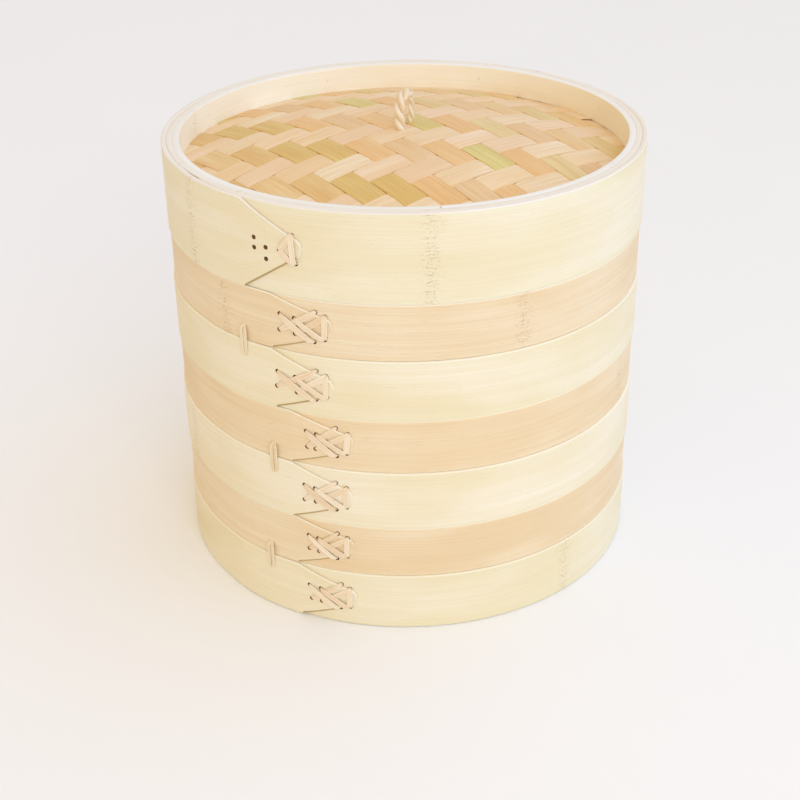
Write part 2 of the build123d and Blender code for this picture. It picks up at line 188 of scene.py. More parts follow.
# %% Effect: fibres
fibres, given, gives = new_effect(
    "Fibres",
    {"Place": ("VECTOR", None), "Width": ("FLOAT", 0.0006), "Length": ("FLOAT", 0.05)},
    {"Fine": "FLOAT", "Streaks": "FLOAT", "Height": "FLOAT"},
)


def stretched_noise(tree, place, length, width, detail, roughness=0.6, shift=0.0):
    """Noise drawn out along a strip: length and width are the size of one fleck, in metres."""
    per_length, per_width = [sums(tree, "DIVIDE", 1.0, size) for size in (length, width)]
    scale = add(tree, "CombineXYZ", {0: per_length, 1: per_width, 2: 1.0})
    moved = add(tree, "VectorMath", {0: place, 1: (0.0, 0.0, shift)}, operation="ADD").outputs[0]
    scaled = add(tree, "VectorMath", {0: moved, 1: scale.outputs[0]}, operation="MULTIPLY").outputs[0]
    sockets = {"Vector": scaled, "Scale": 1.0, "Detail": detail, "Roughness": roughness}
    return add(tree, "TexNoise", sockets).outputs[0]


fine = stretched_noise(fibres, given["Place"], given["Length"], given["Width"], 3.0)
wide = sums(fibres, "MULTIPLY", given["Width"], 5.0)
long = sums(fibres, "MULTIPLY", given["Length"], 2.5)
streaks = stretched_noise(fibres, given["Place"], long, wide, 2.0, 0.5, 3.7)
fibres.links.new(steps(fibres, fine, 0.3, 0.72), gives["Fine"])
fibres.links.new(steps(fibres, streaks, 0.38, 0.7), gives["Streaks"])
height = sums(fibres, "ADD", sums(fibres, "MULTIPLY", fine, 0.6), sums(fibres, "MULTIPLY", streaks, 0.4))
fibres.links.new(height, gives["Height"])
print("effect:", fibres.name)

# %% [markdown]
# ## Pores, slow changes of tone, knuckles and worn edges
#
# Four more things tell bamboo from plain wood. The cut ends of its vessels show as tiny dark dashes.
# Its tone drifts over a hand's breadth, from sun and handling. At each knuckle of the cane the
# fibres are knotted into a band of flecks. And edges are scraped pale or rubbed dark. Each is a
# group with its own knobs, so a hoop and a splint can wear it differently.

# %% Effect: pores
pores, given, gives = new_effect(
    "Pores",
    {"Place": ("VECTOR", None), "Amount": ("FLOAT", 0.5)},
    {"Dashes": "FLOAT"},
)
dash = stretched_noise(pores, given["Place"], 0.005, 0.0004, 1.0, 0.5, 9.1)
cover = stretched_noise(pores, given["Place"], 0.06, 0.006, 1.0, 0.5, 4.3)
found = sums(pores, "MULTIPLY", steps(pores, dash, 0.62, 0.74), steps(pores, cover, 0.4, 0.62))
pores.links.new(sums(pores, "MULTIPLY", found, given["Amount"]), gives["Dashes"])

# %% Effect: slow tone
slow_tone, given, gives = new_effect(
    "Slow tone",
    {"Place": ("VECTOR", None), "Size": ("FLOAT", 0.06)},
    {"Patch": "FLOAT"},
)
across = sums(slow_tone, "MULTIPLY", given["Size"], 0.35)
patch = stretched_noise(slow_tone, given["Place"], given["Size"], across, 2.0, 0.55, 6.2)
slow_tone.links.new(steps(slow_tone, patch, 0.32, 0.68), gives["Patch"])

# %% Effect: knuckle
knuckle, given, gives = new_effect(
    "Knuckle",
    {"Place": ("VECTOR", None), "Near": ("FLOAT", 0.0)},
    {"Flecks": "FLOAT", "Height": "FLOAT"},
)
crumbs = stretched_noise(knuckle, given["Place"], 0.0016, 0.0009, 3.0, 0.65, 1.9)
strands = stretched_noise(knuckle, given["Place"], 0.008, 0.0008, 2.0, 0.5, 2.9)
rough = sums(knuckle, "MULTIPLY_ADD", crumbs, 0.65, sums(knuckle, "MULTIPLY", strands, 0.35))
knuckle.links.new(sums(knuckle, "MULTIPLY", steps(knuckle, rough, 0.5, 0.62), given["Near"]), gives["Flecks"])
knuckle.links.new(sums(knuckle, "MULTIPLY", rough, given["Near"]), gives["Height"])

# %% Effect: worn edge
worn_edge, given, gives = new_effect(
    "Worn edge",
    {"Place": ("VECTOR", None), "Across": ("FLOAT", 0.5), "Reach": ("FLOAT", 0.1)},
    {"Rubbed": "FLOAT"},
)
off_middle = sums(worn_edge, "ABSOLUTE", sums(worn_edge, "SUBTRACT", given["Across"], 0.5))
from_edge = sums(worn_edge, "SUBTRACT", 0.5, off_middle)
torn = stretched_noise(worn_edge, given["Place"], 0.012, 0.004, 3.0, 0.6, 5.5)
reach = sums(worn_edge, "MULTIPLY", given["Reach"], sums(worn_edge, "MULTIPLY", torn, 2.0))
kept = steps(worn_edge, from_edge, 0.0, reach)
worn_edge.links.new(sums(worn_edge, "SUBTRACT", 1.0, kept), gives["Rubbed"])
print("effects:", ", ".join(group.name for group in (pores, slow_tone, knuckle, worn_edge)))

# %% [markdown]
# ## One recipe, many bamboos
#
# All the finishes are bamboo, but each is planed, split or woven in its own way. The recipe below
# lays the effects over each other in the order they happen in the cane: tone, streaks, fibres,
# pores, knuckles, then wear. Each finish gives its own colours and amounts. The constant gloss
# values stay on the shader's own sockets, so that they survive an export.

# %% Bamboo recipe
Bamboo = namedtuple(
    "Bamboo",
    "pale warm deep fleck edge fibre_width fibre_length streak fibre pore edge_reach edge_amount rough bump",
)


def bamboo(name, chart):
    """A bamboo material from a chart of its colours, as 0-255 paint values, and amounts."""
    pale, warm, deep, fleck, edge = [shade(*paint) for paint in chart[:5]]
    material = bpy.data.materials.new(name)
    material.use_nodes = True
    tree = material.node_tree
    shader = tree.nodes["Principled BSDF"]
    place = add(tree, "UVMap", uv_map="strip").outputs[0]
    share = add(tree, "SeparateXYZ", {0: add(tree, "UVMap", uv_map="share").outputs[0]}).outputs
    thread = {"Place": place, "Width": chart.fibre_width, "Length": chart.fibre_length}
    grain = place_effect(tree, fibres, thread)
    drift = place_effect(tree, slow_tone, {"Place": place, "Size": 0.09})
    dashes = place_effect(tree, pores, {"Place": place, "Amount": chart.pore})
    near = add(tree, "Attribute", attribute_name="knuckle").outputs["Fac"]
    knot = place_effect(tree, knuckle, {"Place": place, "Near": near})
    rubbed = place_effect(tree, worn_edge, {"Place": place, "Across": share[1], "Reach": chart.edge_reach})
    tone = add(tree, "Attribute", attribute_name="tone").outputs["Color"]

    colour = stain(tree, drift["Patch"], pale, warm)
    colour = stain(tree, sums(tree, "MULTIPLY", grain["Streaks"], chart.streak), colour, warm)
    colour = stain(tree, sums(tree, "MULTIPLY", grain["Fine"], chart.fibre), colour, deep)
    colour = stain(tree, dashes["Dashes"], colour, deep)
    colour = stain(tree, sums(tree, "MULTIPLY", rubbed["Rubbed"], chart.edge_amount), colour, edge)
    colour = stain(tree, sums(tree, "MULTIPLY", knot["Flecks"], 0.55), colour, fleck)
    toned = add(tree, "Mix", {"Factor": 1.0}, data_type="RGBA", blend_type="MULTIPLY")
    tree.links.new(colour, toned.inputs[6])
    tree.links.new(tone, toned.inputs[7])
    tree.links.new(toned.outputs[2], shader.inputs["Base Color"])

    dull = sums(tree, "MULTIPLY_ADD", grain["Fine"], 0.14, chart.rough - 0.07)
    tree.links.new(dull, shader.inputs["Roughness"])
    relief = sums(tree, "MULTIPLY_ADD", knot["Height"], 1.6, grain["Height"])
    bump = add(tree, "Bump", {"Height": relief, "Strength": chart.bump, "Distance": 0.0003})
    tree.links.new(bump.outputs[0], shader.inputs["Normal"])
    shader.inputs["IOR"].default_value = 1.45
    return material


# %% Bamboo finishes
cream_hoop = bamboo("Cream hoop", Bamboo(
    (246, 237, 213), (239, 226, 188), (220, 202, 156), (190, 156, 104), (234, 230, 190),
    0.0008, 0.08, 0.4, 0.2, 0.4, 0.10, 0.4, 0.5, 0.28,
))
tan_hoop = bamboo("Tan hoop", Bamboo(
    (243, 226, 194), (236, 210, 168), (214, 181, 132), (188, 146, 96), (246, 232, 200),
    0.0008, 0.08, 0.5, 0.24, 0.45, 0.08, 0.4, 0.5, 0.28,
))
planed_wall = bamboo("Planed wall", Bamboo(
    (254, 247, 230), (250, 238, 212), (230, 208, 170), (206, 172, 124), (252, 246, 230),
    0.0009, 0.07, 0.4, 0.16, 0.35, 0.06, 0.4, 0.58, 0.3,
))
cut_edge = bamboo("Cut edge", Bamboo(
    (247, 242, 234), (243, 234, 218), (228, 212, 188), (214, 190, 156), (250, 246, 240),
    0.0006, 0.03, 0.35, 0.2, 0.3, 0.2, 0.2, 0.62, 0.3,
))
scraped_edge = bamboo("Scraped edge", Bamboo(
    (252, 246, 228), (249, 238, 212), (230, 208, 168), (206, 172, 124), (253, 247, 230),
    0.0006, 0.03, 0.35, 0.2, 0.3, 0.2, 0.2, 0.62, 0.3,
))
lacing_splint = bamboo("Lacing splint", Bamboo(
    (251, 240, 214), (243, 222, 186), (212, 178, 134), (190, 150, 108), (253, 246, 228),
    0.0005, 0.02, 0.6, 0.45, 0.3, 0.2, 0.45, 0.42, 0.4,
))
woven_splint = bamboo("Woven splint", Bamboo(
    (253, 236, 202), (246, 218, 172), (222, 180, 118), (196, 154, 104), (238, 204, 150),
    0.0009, 0.035, 0.85, 0.42, 0.5, 0.05, 0.35, 0.45, 0.4,
))
slat_bamboo = bamboo("Slat", Bamboo(
    (246, 234, 204), (238, 216, 174), (214, 182, 130), (194, 154, 102), (248, 238, 210),
    0.0007, 0.05, 0.55, 0.32, 0.6, 0.08, 0.4, 0.55, 0.45,
))
green_bar = bamboo("Bar skin", Bamboo(
    (212, 202, 140), (194, 182, 112), (156, 140, 80), (138, 114, 64), (226, 212, 164),
    0.0009, 0.08, 0.4, 0.25, 0.2, 0.1, 0.3, 0.33, 0.2,
))
whittled = bamboo("Whittled", Bamboo(
    (242, 224, 188), (230, 204, 162), (202, 168, 122), (180, 142, 98), (236, 214, 174),
    0.0005, 0.03, 0.5, 0.4, 0.4, 0.2, 0.3, 0.6, 0.5,
))
dried_leaf = bamboo("Dried leaf", Bamboo(
    (164, 134, 84), (140, 110, 64), (104, 78, 44), (96, 70, 40), (120, 92, 54),
    0.0012, 0.2, 0.7, 0.6, 0.2, 0.05, 0.3, 0.6, 0.6,
))
bored_hole = bamboo("Bored hole", Bamboo(
    (190, 146, 100), (170, 124, 80), (134, 92, 58), (112, 72, 46), (160, 116, 76),
    0.0005, 0.01, 0.5, 0.5, 0.2, 0.2, 0.2, 0.75, 0.5,
))
# Painted shadow: a darker tan laid along the lower edge of each tongue's slope, standing in for the shadow of
# the gap under it.
painted_shadow_edge = bamboo("Painted shadow edge", Bamboo(
    (206, 182, 130), (190, 164, 112), (160, 132, 84), (140, 110, 70), (184, 156, 104),
    0.0005, 0.02, 0.6, 0.5, 0.3, 0.2, 0.3, 0.7, 0.4,
))
LACING = [lacing_splint, lacing_splint]
WOVEN = [woven_splint, woven_splint]
print("finishes:", len(bpy.data.materials))

# %% [markdown]
# ## A strip is the one shape behind everything
#
# Hoops, walls, slats, splints and lacing are all strips with a flat, round-cornered section. So one
# helper makes them: it draws the section, then walks it through a row of stations. Curves with a
# bevel could do it too, but they can't thin a tongue, cut a slope or carry a UV map in metres.
# Several strips can go into one mesh, and the class below collects them until the piece is done.

# %% Section of a strip
Station = namedtuple("Station", "along width thick place")


def section(width, thick, corner, rows):
    """Points round a strip's section, starting up the outer face: (across, depth, is it an edge)."""
    c = min(corner, 0.45 * thick, 0.3 * width)
    half = width / 2
    flat = half - c
    near = min(0.5 * MM, 0.3 * flat)
    face = [-flat, -flat + near]
    face += [(-flat + near) + 2 * (flat - near) * k / rows for k in range(1, rows)]
    face += [flat - near, flat]
    turns = [math.radians(a) for a in (30, 60)]
    points = [(x, thick, False) for x in face[:-1]] + [(flat, thick, True)]
    points += [(flat + c * math.sin(a), thick - c + c * math.cos(a), True) for a in turns]
    points += [(half, thick - c, True), (half, c, True)]
    points += [(flat + c * math.cos(a), c - c * math.sin(a), True) for a in turns]
    points += [(x, 0.0, False) for x in reversed(face[1:])] + [(-flat, 0.0, True)]
    points += [(-flat - c * math.sin(a), c - c * math.cos(a), True) for a in turns]
    points += [(-half, c, True), (-half, thick - c, True)]
    points += [(-flat - c * math.cos(a), thick - c + c * math.sin(a), True) for a in turns]
    return points


# %% A piece made of strips
class Piece:
    """Collects strips into one mesh with UV maps, tones and knuckles, then makes it ride on a body."""

    def __init__(self, name):
        self.name = name
        self.points, self.faces, self.kinds = [], [], []
        self.strip_uv, self.share_uv, self.tones, self.knuckles = [], [], [], []

    def strip(self, stations, corner=0.4 * MM, rows=4, tone=(1, 1, 1), seed=0.0, knots=None, shadow_line=None):
        """Adds one strip. Each station gives its distance along, width, thickness and a placing function.

        knots tells how near a knuckle is, and the last argument tells where the lower edge takes a painted
        shadow line.
        """
        first = len(self.points)
        rings = [section(s.width, s.thick, corner, rows) for s in stations]
        count = len(rings[0])
        unrolled = [0.0]
        widest = max(rings, key=lambda ring: ring[0][0] * -1)
        for (x0, y0, _), (x1, y1, _) in zip(widest, widest[1:] + widest[:1]):
            unrolled.append(unrolled[-1] + math.hypot(x1 - x0, y1 - y0))
        for station, ring in zip(stations, rings):
            mark = knots(station.along) if knots else 0.0
            for x, y, _ in ring:
                self.points.append(station.place(x, y))
                self.knuckles.append(mark)
        for k in range(len(stations) - 1):
            here = stations[k]
            start, end = here.along, stations[k + 1].along
            for j in range(count):
                i = (j + 1) % count
                a, b = first + k * count, first + (k + 1) * count
                self.faces.append((a + j, b + j, b + i, a + i))
                self.kinds.append(1 if rings[k][j][2] and rings[k][i][2] else 0)
                # Painted shadow: on the slope, the outer face's lowest row and the corner below it take
                # finish 3, the painted shadow line.
                if shadow_line and shadow_line(start) and (j == 0 or j >= count - 3):
                    self.kinds[-1] = 3
                v0, v1 = unrolled[j], unrolled[j + 1]
                shares = [rings[k][m][0] / here.width + 0.5 for m in (j, j, i, i)]
                self.strip_uv += [(start + seed, v0), (end + seed, v0), (end + seed, v1), (start + seed, v1)]
                self.share_uv += [(0.0, s) for s in shares]
                self.tones += [tone] * 4
        for k in (0, len(stations) - 1):
            self.faces.append([first + k * count + j for j in range(count)])
            self.kinds.append(1)
            for x, y, _ in rings[k]:
                self.strip_uv.append((stations[k].along + seed + y, x))
                self.share_uv.append((0.0, 0.5))
                self.tones.append(tone)

    def make(self, body, nodes, materials, holes=None):
        """Builds the mesh, drills it if asked, and hands it to the frame."""
        mesh = bpy.data.meshes.new(self.name)
        mesh.from_pydata([tuple(p) for p in self.points], [], self.faces)
        for layer, values in (("strip", self.strip_uv), ("share", self.share_uv)):
            uv = mesh.uv_layers.new(name=layer)
            uv.data.foreach_set("uv", [v for pair in values for v in pair])
        tone = mesh.color_attributes.new("tone", "FLOAT_COLOR", "CORNER")
        tone.data.foreach_set("color", [v for colour in self.tones for v in (*colour, 1.0)])
        knots = mesh.attributes.new("knuckle", "FLOAT", "POINT")
        knots.data.foreach_set("value", self.knuckles)
        mesh.polygons.foreach_set("material_index", self.kinds)
        built = bmesh.new()
        built.from_mesh(mesh)
        bmesh.ops.recalc_face_normals(built, faces=built.faces)
        built.to_mesh(mesh)
        built.free()
        mesh.shade_smooth()
        piece = bpy.data.objects.new(self.name, mesh)
        bpy.context.scene.collection.objects.link(piece)
        for material in materials:
            mesh.materials.append(material)
        if holes:
            drill(piece, holes)
        piece.data.set_sharp_from_angle(angle=math.radians(48))
        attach(piece, body)
        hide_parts(*nodes)
        print(f"{self.name}: {len(piece.data.polygons)} faces")
        return piece


# %% Drilling and notching
def cut_away(piece, tool, kind):
    """Cuts a tool's shape out of a piece. The cut faces take the piece's material number kind."""
    for face in tool.faces:
        face.material_index = kind
    mesh = bpy.data.meshes.new("tool")
    tool.to_mesh(mesh)
    tool.free()
    for material in piece.data.materials:
        mesh.materials.append(material)
    bit = bpy.data.objects.new("tool", mesh)
    bpy.context.scene.collection.objects.link(bit)
    cut = piece.modifiers.new("cut", "BOOLEAN")
    cut.operation = "DIFFERENCE"
    cut.solver = "EXACT"
    cut.object = bit
    whole = piece.evaluated_get(bpy.context.evaluated_depsgraph_get())
    piece.data = bpy.data.meshes.new_from_object(whole)
    piece.data.name = piece.name
    piece.modifiers.clear()
    bpy.data.objects.remove(bit)


def drill(piece, holes, radius=1.1 * MM):
    """Drills round holes, a shade wider outside. holes are (start, end) points of each drill bit."""
    bits = bmesh.new()
    for start, end in holes:
        size = {"radius1": radius, "radius2": radius * 1.08, "depth": (end - start).length}
        turn = (end - start).to_track_quat("Z", "Y").to_matrix().to_4x4()
        made = bmesh.ops.create_cone(bits, cap_ends=True, segments=18, **size)
        bmesh.ops.transform(bits, matrix=turn, verts=made["verts"])
        bmesh.ops.translate(bits, vec=(start + end) / 2, verts=made["verts"])
    cut_away(piece, bits, 2)


def notch(piece, boxes):
    """Cuts boxes, each a (low corner, high corner), out of a piece."""
    cutter = bmesh.new()
    for low, high in boxes:
        made = bmesh.ops.create_cube(cutter, size=1.0)
        bmesh.ops.scale(cutter, vec=high - low, verts=made["verts"])
        bmesh.ops.translate(cutter, vec=(low + high) / 2, verts=made["verts"])
    cut_away(piece, cutter, 1)


# %% [markdown]
# ## Bent hoops
#
# A hoop is one strip, bent round once and a little more. Its start is shaved thin, so the tongue at
# its end can lie over it, and the tongue is cut to a blunt point and laced down. A torus or a
# cylinder would lose the overlap, which is what makes the joint look made by hand. So the strip
# follows the same plan as the CAD: a full turn, a short rise, and the tongue.

# %% Plan of a bent hoop
OVERLAP = 30.0
SKIVE = 20.0
RISE = 10.0
SKIVED = 0.8 * MM
LAP_GAP = 0.1 * MM
TAPER = 15.0
NOSE = 1.6
TIP_HALF = 5.0 * MM


def start_thick(turned, full):
    """Thickness of the shaved start of a strip."""
    return SKIVED + (full - SKIVED) * min(1.0, turned / SKIVE)


def tongue_thick(over, full):
    """Thickness of the tongue, by degrees past one turn."""
    return full - 0.54 * full * min(1.0, over / SKIVE)


def hoop_layer(turned, full):
    """(radius of the inner face, thickness) of a hoop, by degrees along it."""
    lifted = SKIVED + LAP_GAP
    if turned <= 360 - RISE:
        return HOOP_INSIDE, start_thick(turned, full)
    if turned <= 360:
        return HOOP_INSIDE + lifted * ease((turned - 360 + RISE) / RISE), full
    over = turned - 360
    return HOOP_INSIDE + start_thick(over, full) + LAP_GAP, tongue_thick(over, full)


def tongue_half(back, half):
    """Half the height of the tongue, by degrees back from its tip."""
    if back >= TAPER:
        return half
    if back >= NOSE:
        return TIP_HALF + (half - TIP_HALF) * (back - NOSE) / (TAPER - NOSE)
    return TIP_HALF * math.sqrt(max(0.004, 1 - (1 - back / NOSE) ** 2))


def outer_face(degrees, height, hoop):
    """Radius of a hoop's visible face at a place, on the tongue or beside it."""
    back = (hoop.tip - degrees) % 360
    if back < OVERLAP and abs(height - hoop.middle - hoop.rise) < tongue_half(back, hoop.half):
        inner, thick = hoop_layer(360 + OVERLAP - back, hoop.thick)
        return inner + thick
    inner, thick = hoop_layer((degrees - hoop.tip + OVERLAP) % 360, hoop.thick)
    return inner + thick


# %% The hoops of this stack
class Hoop(namedtuple("Hoop", "node body tip low height thick rise knots seed skirt tone")):
    """One hoop: CAD node and body, its place and how its joint lies. rise lifts the tip off the middle."""

    @property
    def half(self):
        return self.height / 2

    @property
    def middle(self):
        return self.low + self.height / 2


# tip, rise in mm, knuckles, tone
LID_DETAIL = (-22.1, 2.3, (5.4, -54.6, 141.0, -128.0), (1.0, 1.0, 1.0))
LOWER_DETAILS = {
    "bottom": (-12.4, 0.8, (41.0, -98.0), (0.99, 0.98, 0.95)),
    "middle": (-12.7, 0.9, (-66.0, 118.0), (1.01, 1.0, 1.0)),
    "top": (-16.1, 0.2, (96.0, -170.0), (1.0, 0.99, 0.97)),
}
UPPER_DETAILS = {
    "bottom": (-12.8, 1.4, (-81.0, 133.0), (1.0, 1.0, 0.99)),
    "middle": (-12.2, 1.0, (64.0, -141.0), (1.0, 0.985, 0.95)),
    "top": (-16.1, 0.8, (26.5, -44.4, 172.0), (1.0, 1.0, 1.0)),
}
HOOP_GAP = 0.15 * MM


def hoop_of(name, body, low, height, thick, detail, seed, skirt):
    """One hoop from its place and its details."""
    tip, rise, knots, tone = detail
    return Hoop(f"{body}_{name}", body, tip, low, height, thick, rise * MM, knots, seed, skirt, tone)


def hoop_rows():
    """Every hoop: the lid's, then each tier's lower and upper one, from the bottom up."""
    rows = [hoop_of("hoop", "lid", STACK_TOP, LID, BROAD_HOOP, LID_DETAIL, 1.0, True)]
    for number, tier in enumerate(TIERS):
        body, base = f"{tier}_tier", number * TIER
        lower, upper = LOWER_DETAILS[tier], UPPER_DETAILS[tier]
        rows.append(hoop_of("lower_hoop", body, base, LOWER, BROAD_HOOP, lower, 2.0 + number, True))
        foot, wide = base + LOWER, UPPER - HOOP_GAP
        rows.append(hoop_of("upper_hoop", body, foot, wide, THIN_HOOP, upper, 12.0 + number, False))
    return rows


ROWS = hoop_rows()
print("hoops:", ", ".join(hoop.node for hoop in ROWS))

# %% Bending a hoop
AROUND = math.radians(1) * HOOP_INSIDE      # metres of strip per degree


def hoop_turns(hoop):
    """Where the stations of a hoop stand: close together at knuckles and round the nose of the tongue."""
    first = hoop.tip - OVERLAP
    knots = [(degrees - first) % 360 for degrees in hoop.knots]
    knots += [k + 360 for k in knots if k < OVERLAP]
    turned, stops = 0.0, []
    while turned < 360 + OVERLAP - NOSE:
        stops.append(turned)
        near = min(abs(turned - k) for k in knots)
        turned += 0.35 if near < 3.5 else (1.0 if turned > 345 or turned < 1 else 2.0)
    stops += [360 + OVERLAP - back for back in (NOSE, 1.25, 0.95, 0.7, 0.5, 0.32, 0.18, 0.08, 0.0)]
    return stops, knots


def bend_hoop(hoop):
    """The stations of a hoop, and how near each is to a knuckle."""
    stops, knots = hoop_turns(hoop)

    def near_knuckle(along):
        turned = along / AROUND
        return max(math.exp(-(((turned - k) * AROUND / (4.0 * MM)) ** 2)) for k in knots)

    def station(turned):
        inner, thick = hoop_layer(turned, hoop.thick)
        degrees = hoop.tip - OVERLAP + turned
        back = 360 + OVERLAP - turned
        on_tongue = turned > 360
        half = tongue_half(back, hoop.half) if on_tongue else hoop.half
        shave = 0.10 * MM * (1 + waver(degrees / 40, hoop.seed))
        middle = hoop.middle + (hoop.rise * (1 - min(1.0, back / TAPER)) if on_tongue else 0.0)
        near = near_knuckle(turned * AROUND)
        free = 1.0 if turned > OVERLAP else 0.0

        def place(x, y):
            height = middle + x
            radius = inner + y
            if y > thick / 2:
                radius += free * 0.20 * MM * near * waver(height / (2.2 * MM), degrees * 1.3, hoop.seed)
                radius += free * 0.07 * MM * waver(height / (9 * MM), degrees / 9, hoop.seed)
            elif hoop.skirt and height < hoop.low + NEST:
                radius = inner + max(y, min(0.3 * MM, 0.4 * thick))
            return on_ring(radius, degrees, height)

        return Station(turned * AROUND, 2 * half - shave, thick, place)

    return [station(turned) for turned in stops], near_knuckle


# %% [markdown]
# ## Holes for the lacing
#
# The lacing needs seven or eight holes: pairs through the tongue, and pairs just past its sloped
# edges. They are drilled with a boolean cut, because a painted dot has no depth when the light
# comes from the side. Each joint is marked out by eye, so its holes wander a little.

# %% Marking out the holes
LEFT_PAIR = {
    "bottom_tier_lower_hoop": 11.6, "bottom_tier_upper_hoop": 11.0, "middle_tier_lower_hoop": 11.4,
    "middle_tier_upper_hoop": 11.0, "top_tier_lower_hoop": 13.6, "top_tier_upper_hoop": 12.4,
}
JOINT = {
    "middle up": (8.7, 3.8), "middle down": (8.8, -4.0),
    "right up": (3.8, 8.2), "end up": (1.5, 6.2), "right down": (4.3, -6.8), "end down": (1.7, -5.0),
}
JOINT_STITCHES = [
    ("left down", "right up", 0), ("middle down", "end up", 0), ("left up", "right down", 1),
    ("middle up", "end down", 1), ("end up", "end down", 0),
]
LID_JOINT = {
    "left up": (11.6, 4.2), "left down": (11.6, -0.6), "middle up": (8.2, 0.8), "middle down": (8.5, -5.0),
    "near": (5.2, 0.7), "end up": (1.9, 8.3), "end down": (1.6, -5.0),
}
LID_STITCHES = [("near", "end up", 0), ("near", "end down", 0), ("end up", "end down", 1)]


def marked_holes(hoop):
    """Each hole's (angle, height), a little off the ruler."""
    marks = LID_JOINT
    if hoop.node in LEFT_PAIR:
        back = LEFT_PAIR[hoop.node]
        marks = {"left up": (back, 4.4), "left down": (back, -3.6), **JOINT}
    hand = random.Random(hoop.node)
    made = {}
    for name, (back, up) in marks.items():
        back += hand.uniform(-0.25, 0.25)
        up += hand.uniform(-0.3, 0.3)
        made[name] = (hoop.tip - back, hoop.middle + up * MM)
    return made


# %% Make the hoops
def on_slope(along):
    """True on the sloped part of the tongue, whose lower edge takes a painted shadow line."""
    return 360 + OVERLAP - TAPER < along / AROUND < 360 + OVERLAP - 1.0


for hoop in ROWS:
    stations, near = bend_hoop(hoop)
    finish = tan_hoop if "upper" in hoop.node else cream_hoop
    band = Piece(f"{hoop.node}_bent")
    rows = 8 if hoop.height < 40 * MM else 12
    # The tongue's slope gets a painted shadow line along its lower edge.
    band.strip(stations, 0.55 * MM, rows, hoop.tone, hoop.seed * 3, knots=near, shadow_line=on_slope)
    reach = (HOOP_INSIDE - 2 * MM, HOOP_INSIDE + 12 * MM)
    bits = [tuple(on_ring(radius, a, z) for radius in reach) for a, z in marked_holes(hoop).values()]
    edge = cut_edge if hoop.node == "lid_hoop" else scraped_edge
    band.make(hoop.body, [hoop.node], [finish, edge, bored_hole, painted_shadow_edge], bits)

# %% [markdown]
# ## Lacing
#
# Each joint is sewn with a thin splint, wider where it lies on top and pinched where it dives into
# a hole. A splint bends in a smooth curve, so its path is a Catmull-Rom spline through a few points,
# and the strip helper follows it with a frame that is carried along without twisting.

# %% Paths and frames
def smooth_path(points, steps=6):
    """A Catmull-Rom curve through the points, with so many steps between two of them."""
    padded = [2 * points[0] - points[1], *points, 2 * points[-1] - points[-2]]
    curve = []
    for p0, p1, p2, p3 in zip(padded, padded[1:], padded[2:], padded[3:]):
        for k in range(steps):
            t = k / steps
            bend = (2 * p0 - 5 * p1 + 4 * p2 - p3) * t ** 2 + (3 * p1 - p0 - 3 * p2 + p3) * t ** 3
            curve.append(0.5 * (2 * p1 + (p2 - p0) * t + bend))
    return curve + [points[-1].copy()]


def carried_frames(curve, outward, start):
    """(point, side, out, distance) along a curve, carrying the outward direction from one index both ways."""
    count = len(curve)
    tangents = [(curve[min(k + 1, count - 1)] - curve[max(k - 1, 0)]).normalized() for k in range(count)]
    outs = [None] * count
    outs[start] = (outward - tangents[start] * outward.dot(tangents[start])).normalized()
    for k in range(start + 1, count):
        outs[k] = (outs[k - 1] - tangents[k] * outs[k - 1].dot(tangents[k])).normalized()
    for k in range(start - 1, -1, -1):
        outs[k] = (outs[k + 1] - tangents[k] * outs[k + 1].dot(tangents[k])).normalized()
    distance, frames = 0.0, []
    for k in range(count):
        if k:
            distance += (curve[k] - curve[k - 1]).length
        frames.append((curve[k], tangents[k].cross(outs[k]), outs[k], distance))
    return frames


def splint_stations(curve, outward, width, thick, start=None):
    """Stations of a splint along a curve. width is a function of the share of the way along."""
    frames = carried_frames(curve, outward, len(curve) // 2 if start is None else start)
    total = frames[-1][3]
    made = []
    for point, side, out, distance in frames:

        def place(x, y, point=point, side=side, out=out):
            return point + side * x + out * y

        made.append(Station(distance, width(distance / total), thick, place))
    return made


# %% Lace the joints
def stitch_width(share):
    """Pinched at both holes, 3 mm wide between them."""
    return (1.2 + 1.8 * ease(min(share, 1 - share) / 0.3)) * MM


PALE, PINKISH = (1.02, 1.03, 1.06), (0.97, 0.90, 0.85)


def stitch(lacing, hoop, here, there, layer, tone, hand):
    """One splint from hole to hole, over the tongue."""
    (a0, z0), (a1, z1) = here, there

    def at(share, lift):
        a, z = a0 + (a1 - a0) * share, z0 + (z1 - z0) * share
        return on_ring(outer_face(a, z, hoop) + lift, a, z)

    top = max(outer_face(a0 + (a1 - a0) * s, z0 + (z1 - z0) * s, hoop) for s in (0.25, 0.5, 0.75))

    def over(share, lift):
        a, z = a0 + (a1 - a0) * share, z0 + (z1 - z0) * share
        return on_ring(top + lift, a, z)

    rise = (0.12 + 0.5 * layer) * MM
    across = [over(0.14, rise), over(0.5, rise + 0.15 * MM), over(0.86, rise)]
    dive = 2.6 * MM
    points = [at(0.0, -dive), at(0.01, -0.2 * MM), *across, at(0.99, -0.2 * MM), at(1.0, -dive)]
    middle = (a0 + a1) / 2
    width = hand.uniform(0.8, 1.1)
    outward = on_ring(1.0, middle)
    stations = splint_stations(smooth_path(points), outward, lambda s: width * stitch_width(s), 0.38 * MM)
    lacing.strip(stations, corner=0.2 * MM, rows=2, tone=tone, seed=hand.uniform(0, 9))


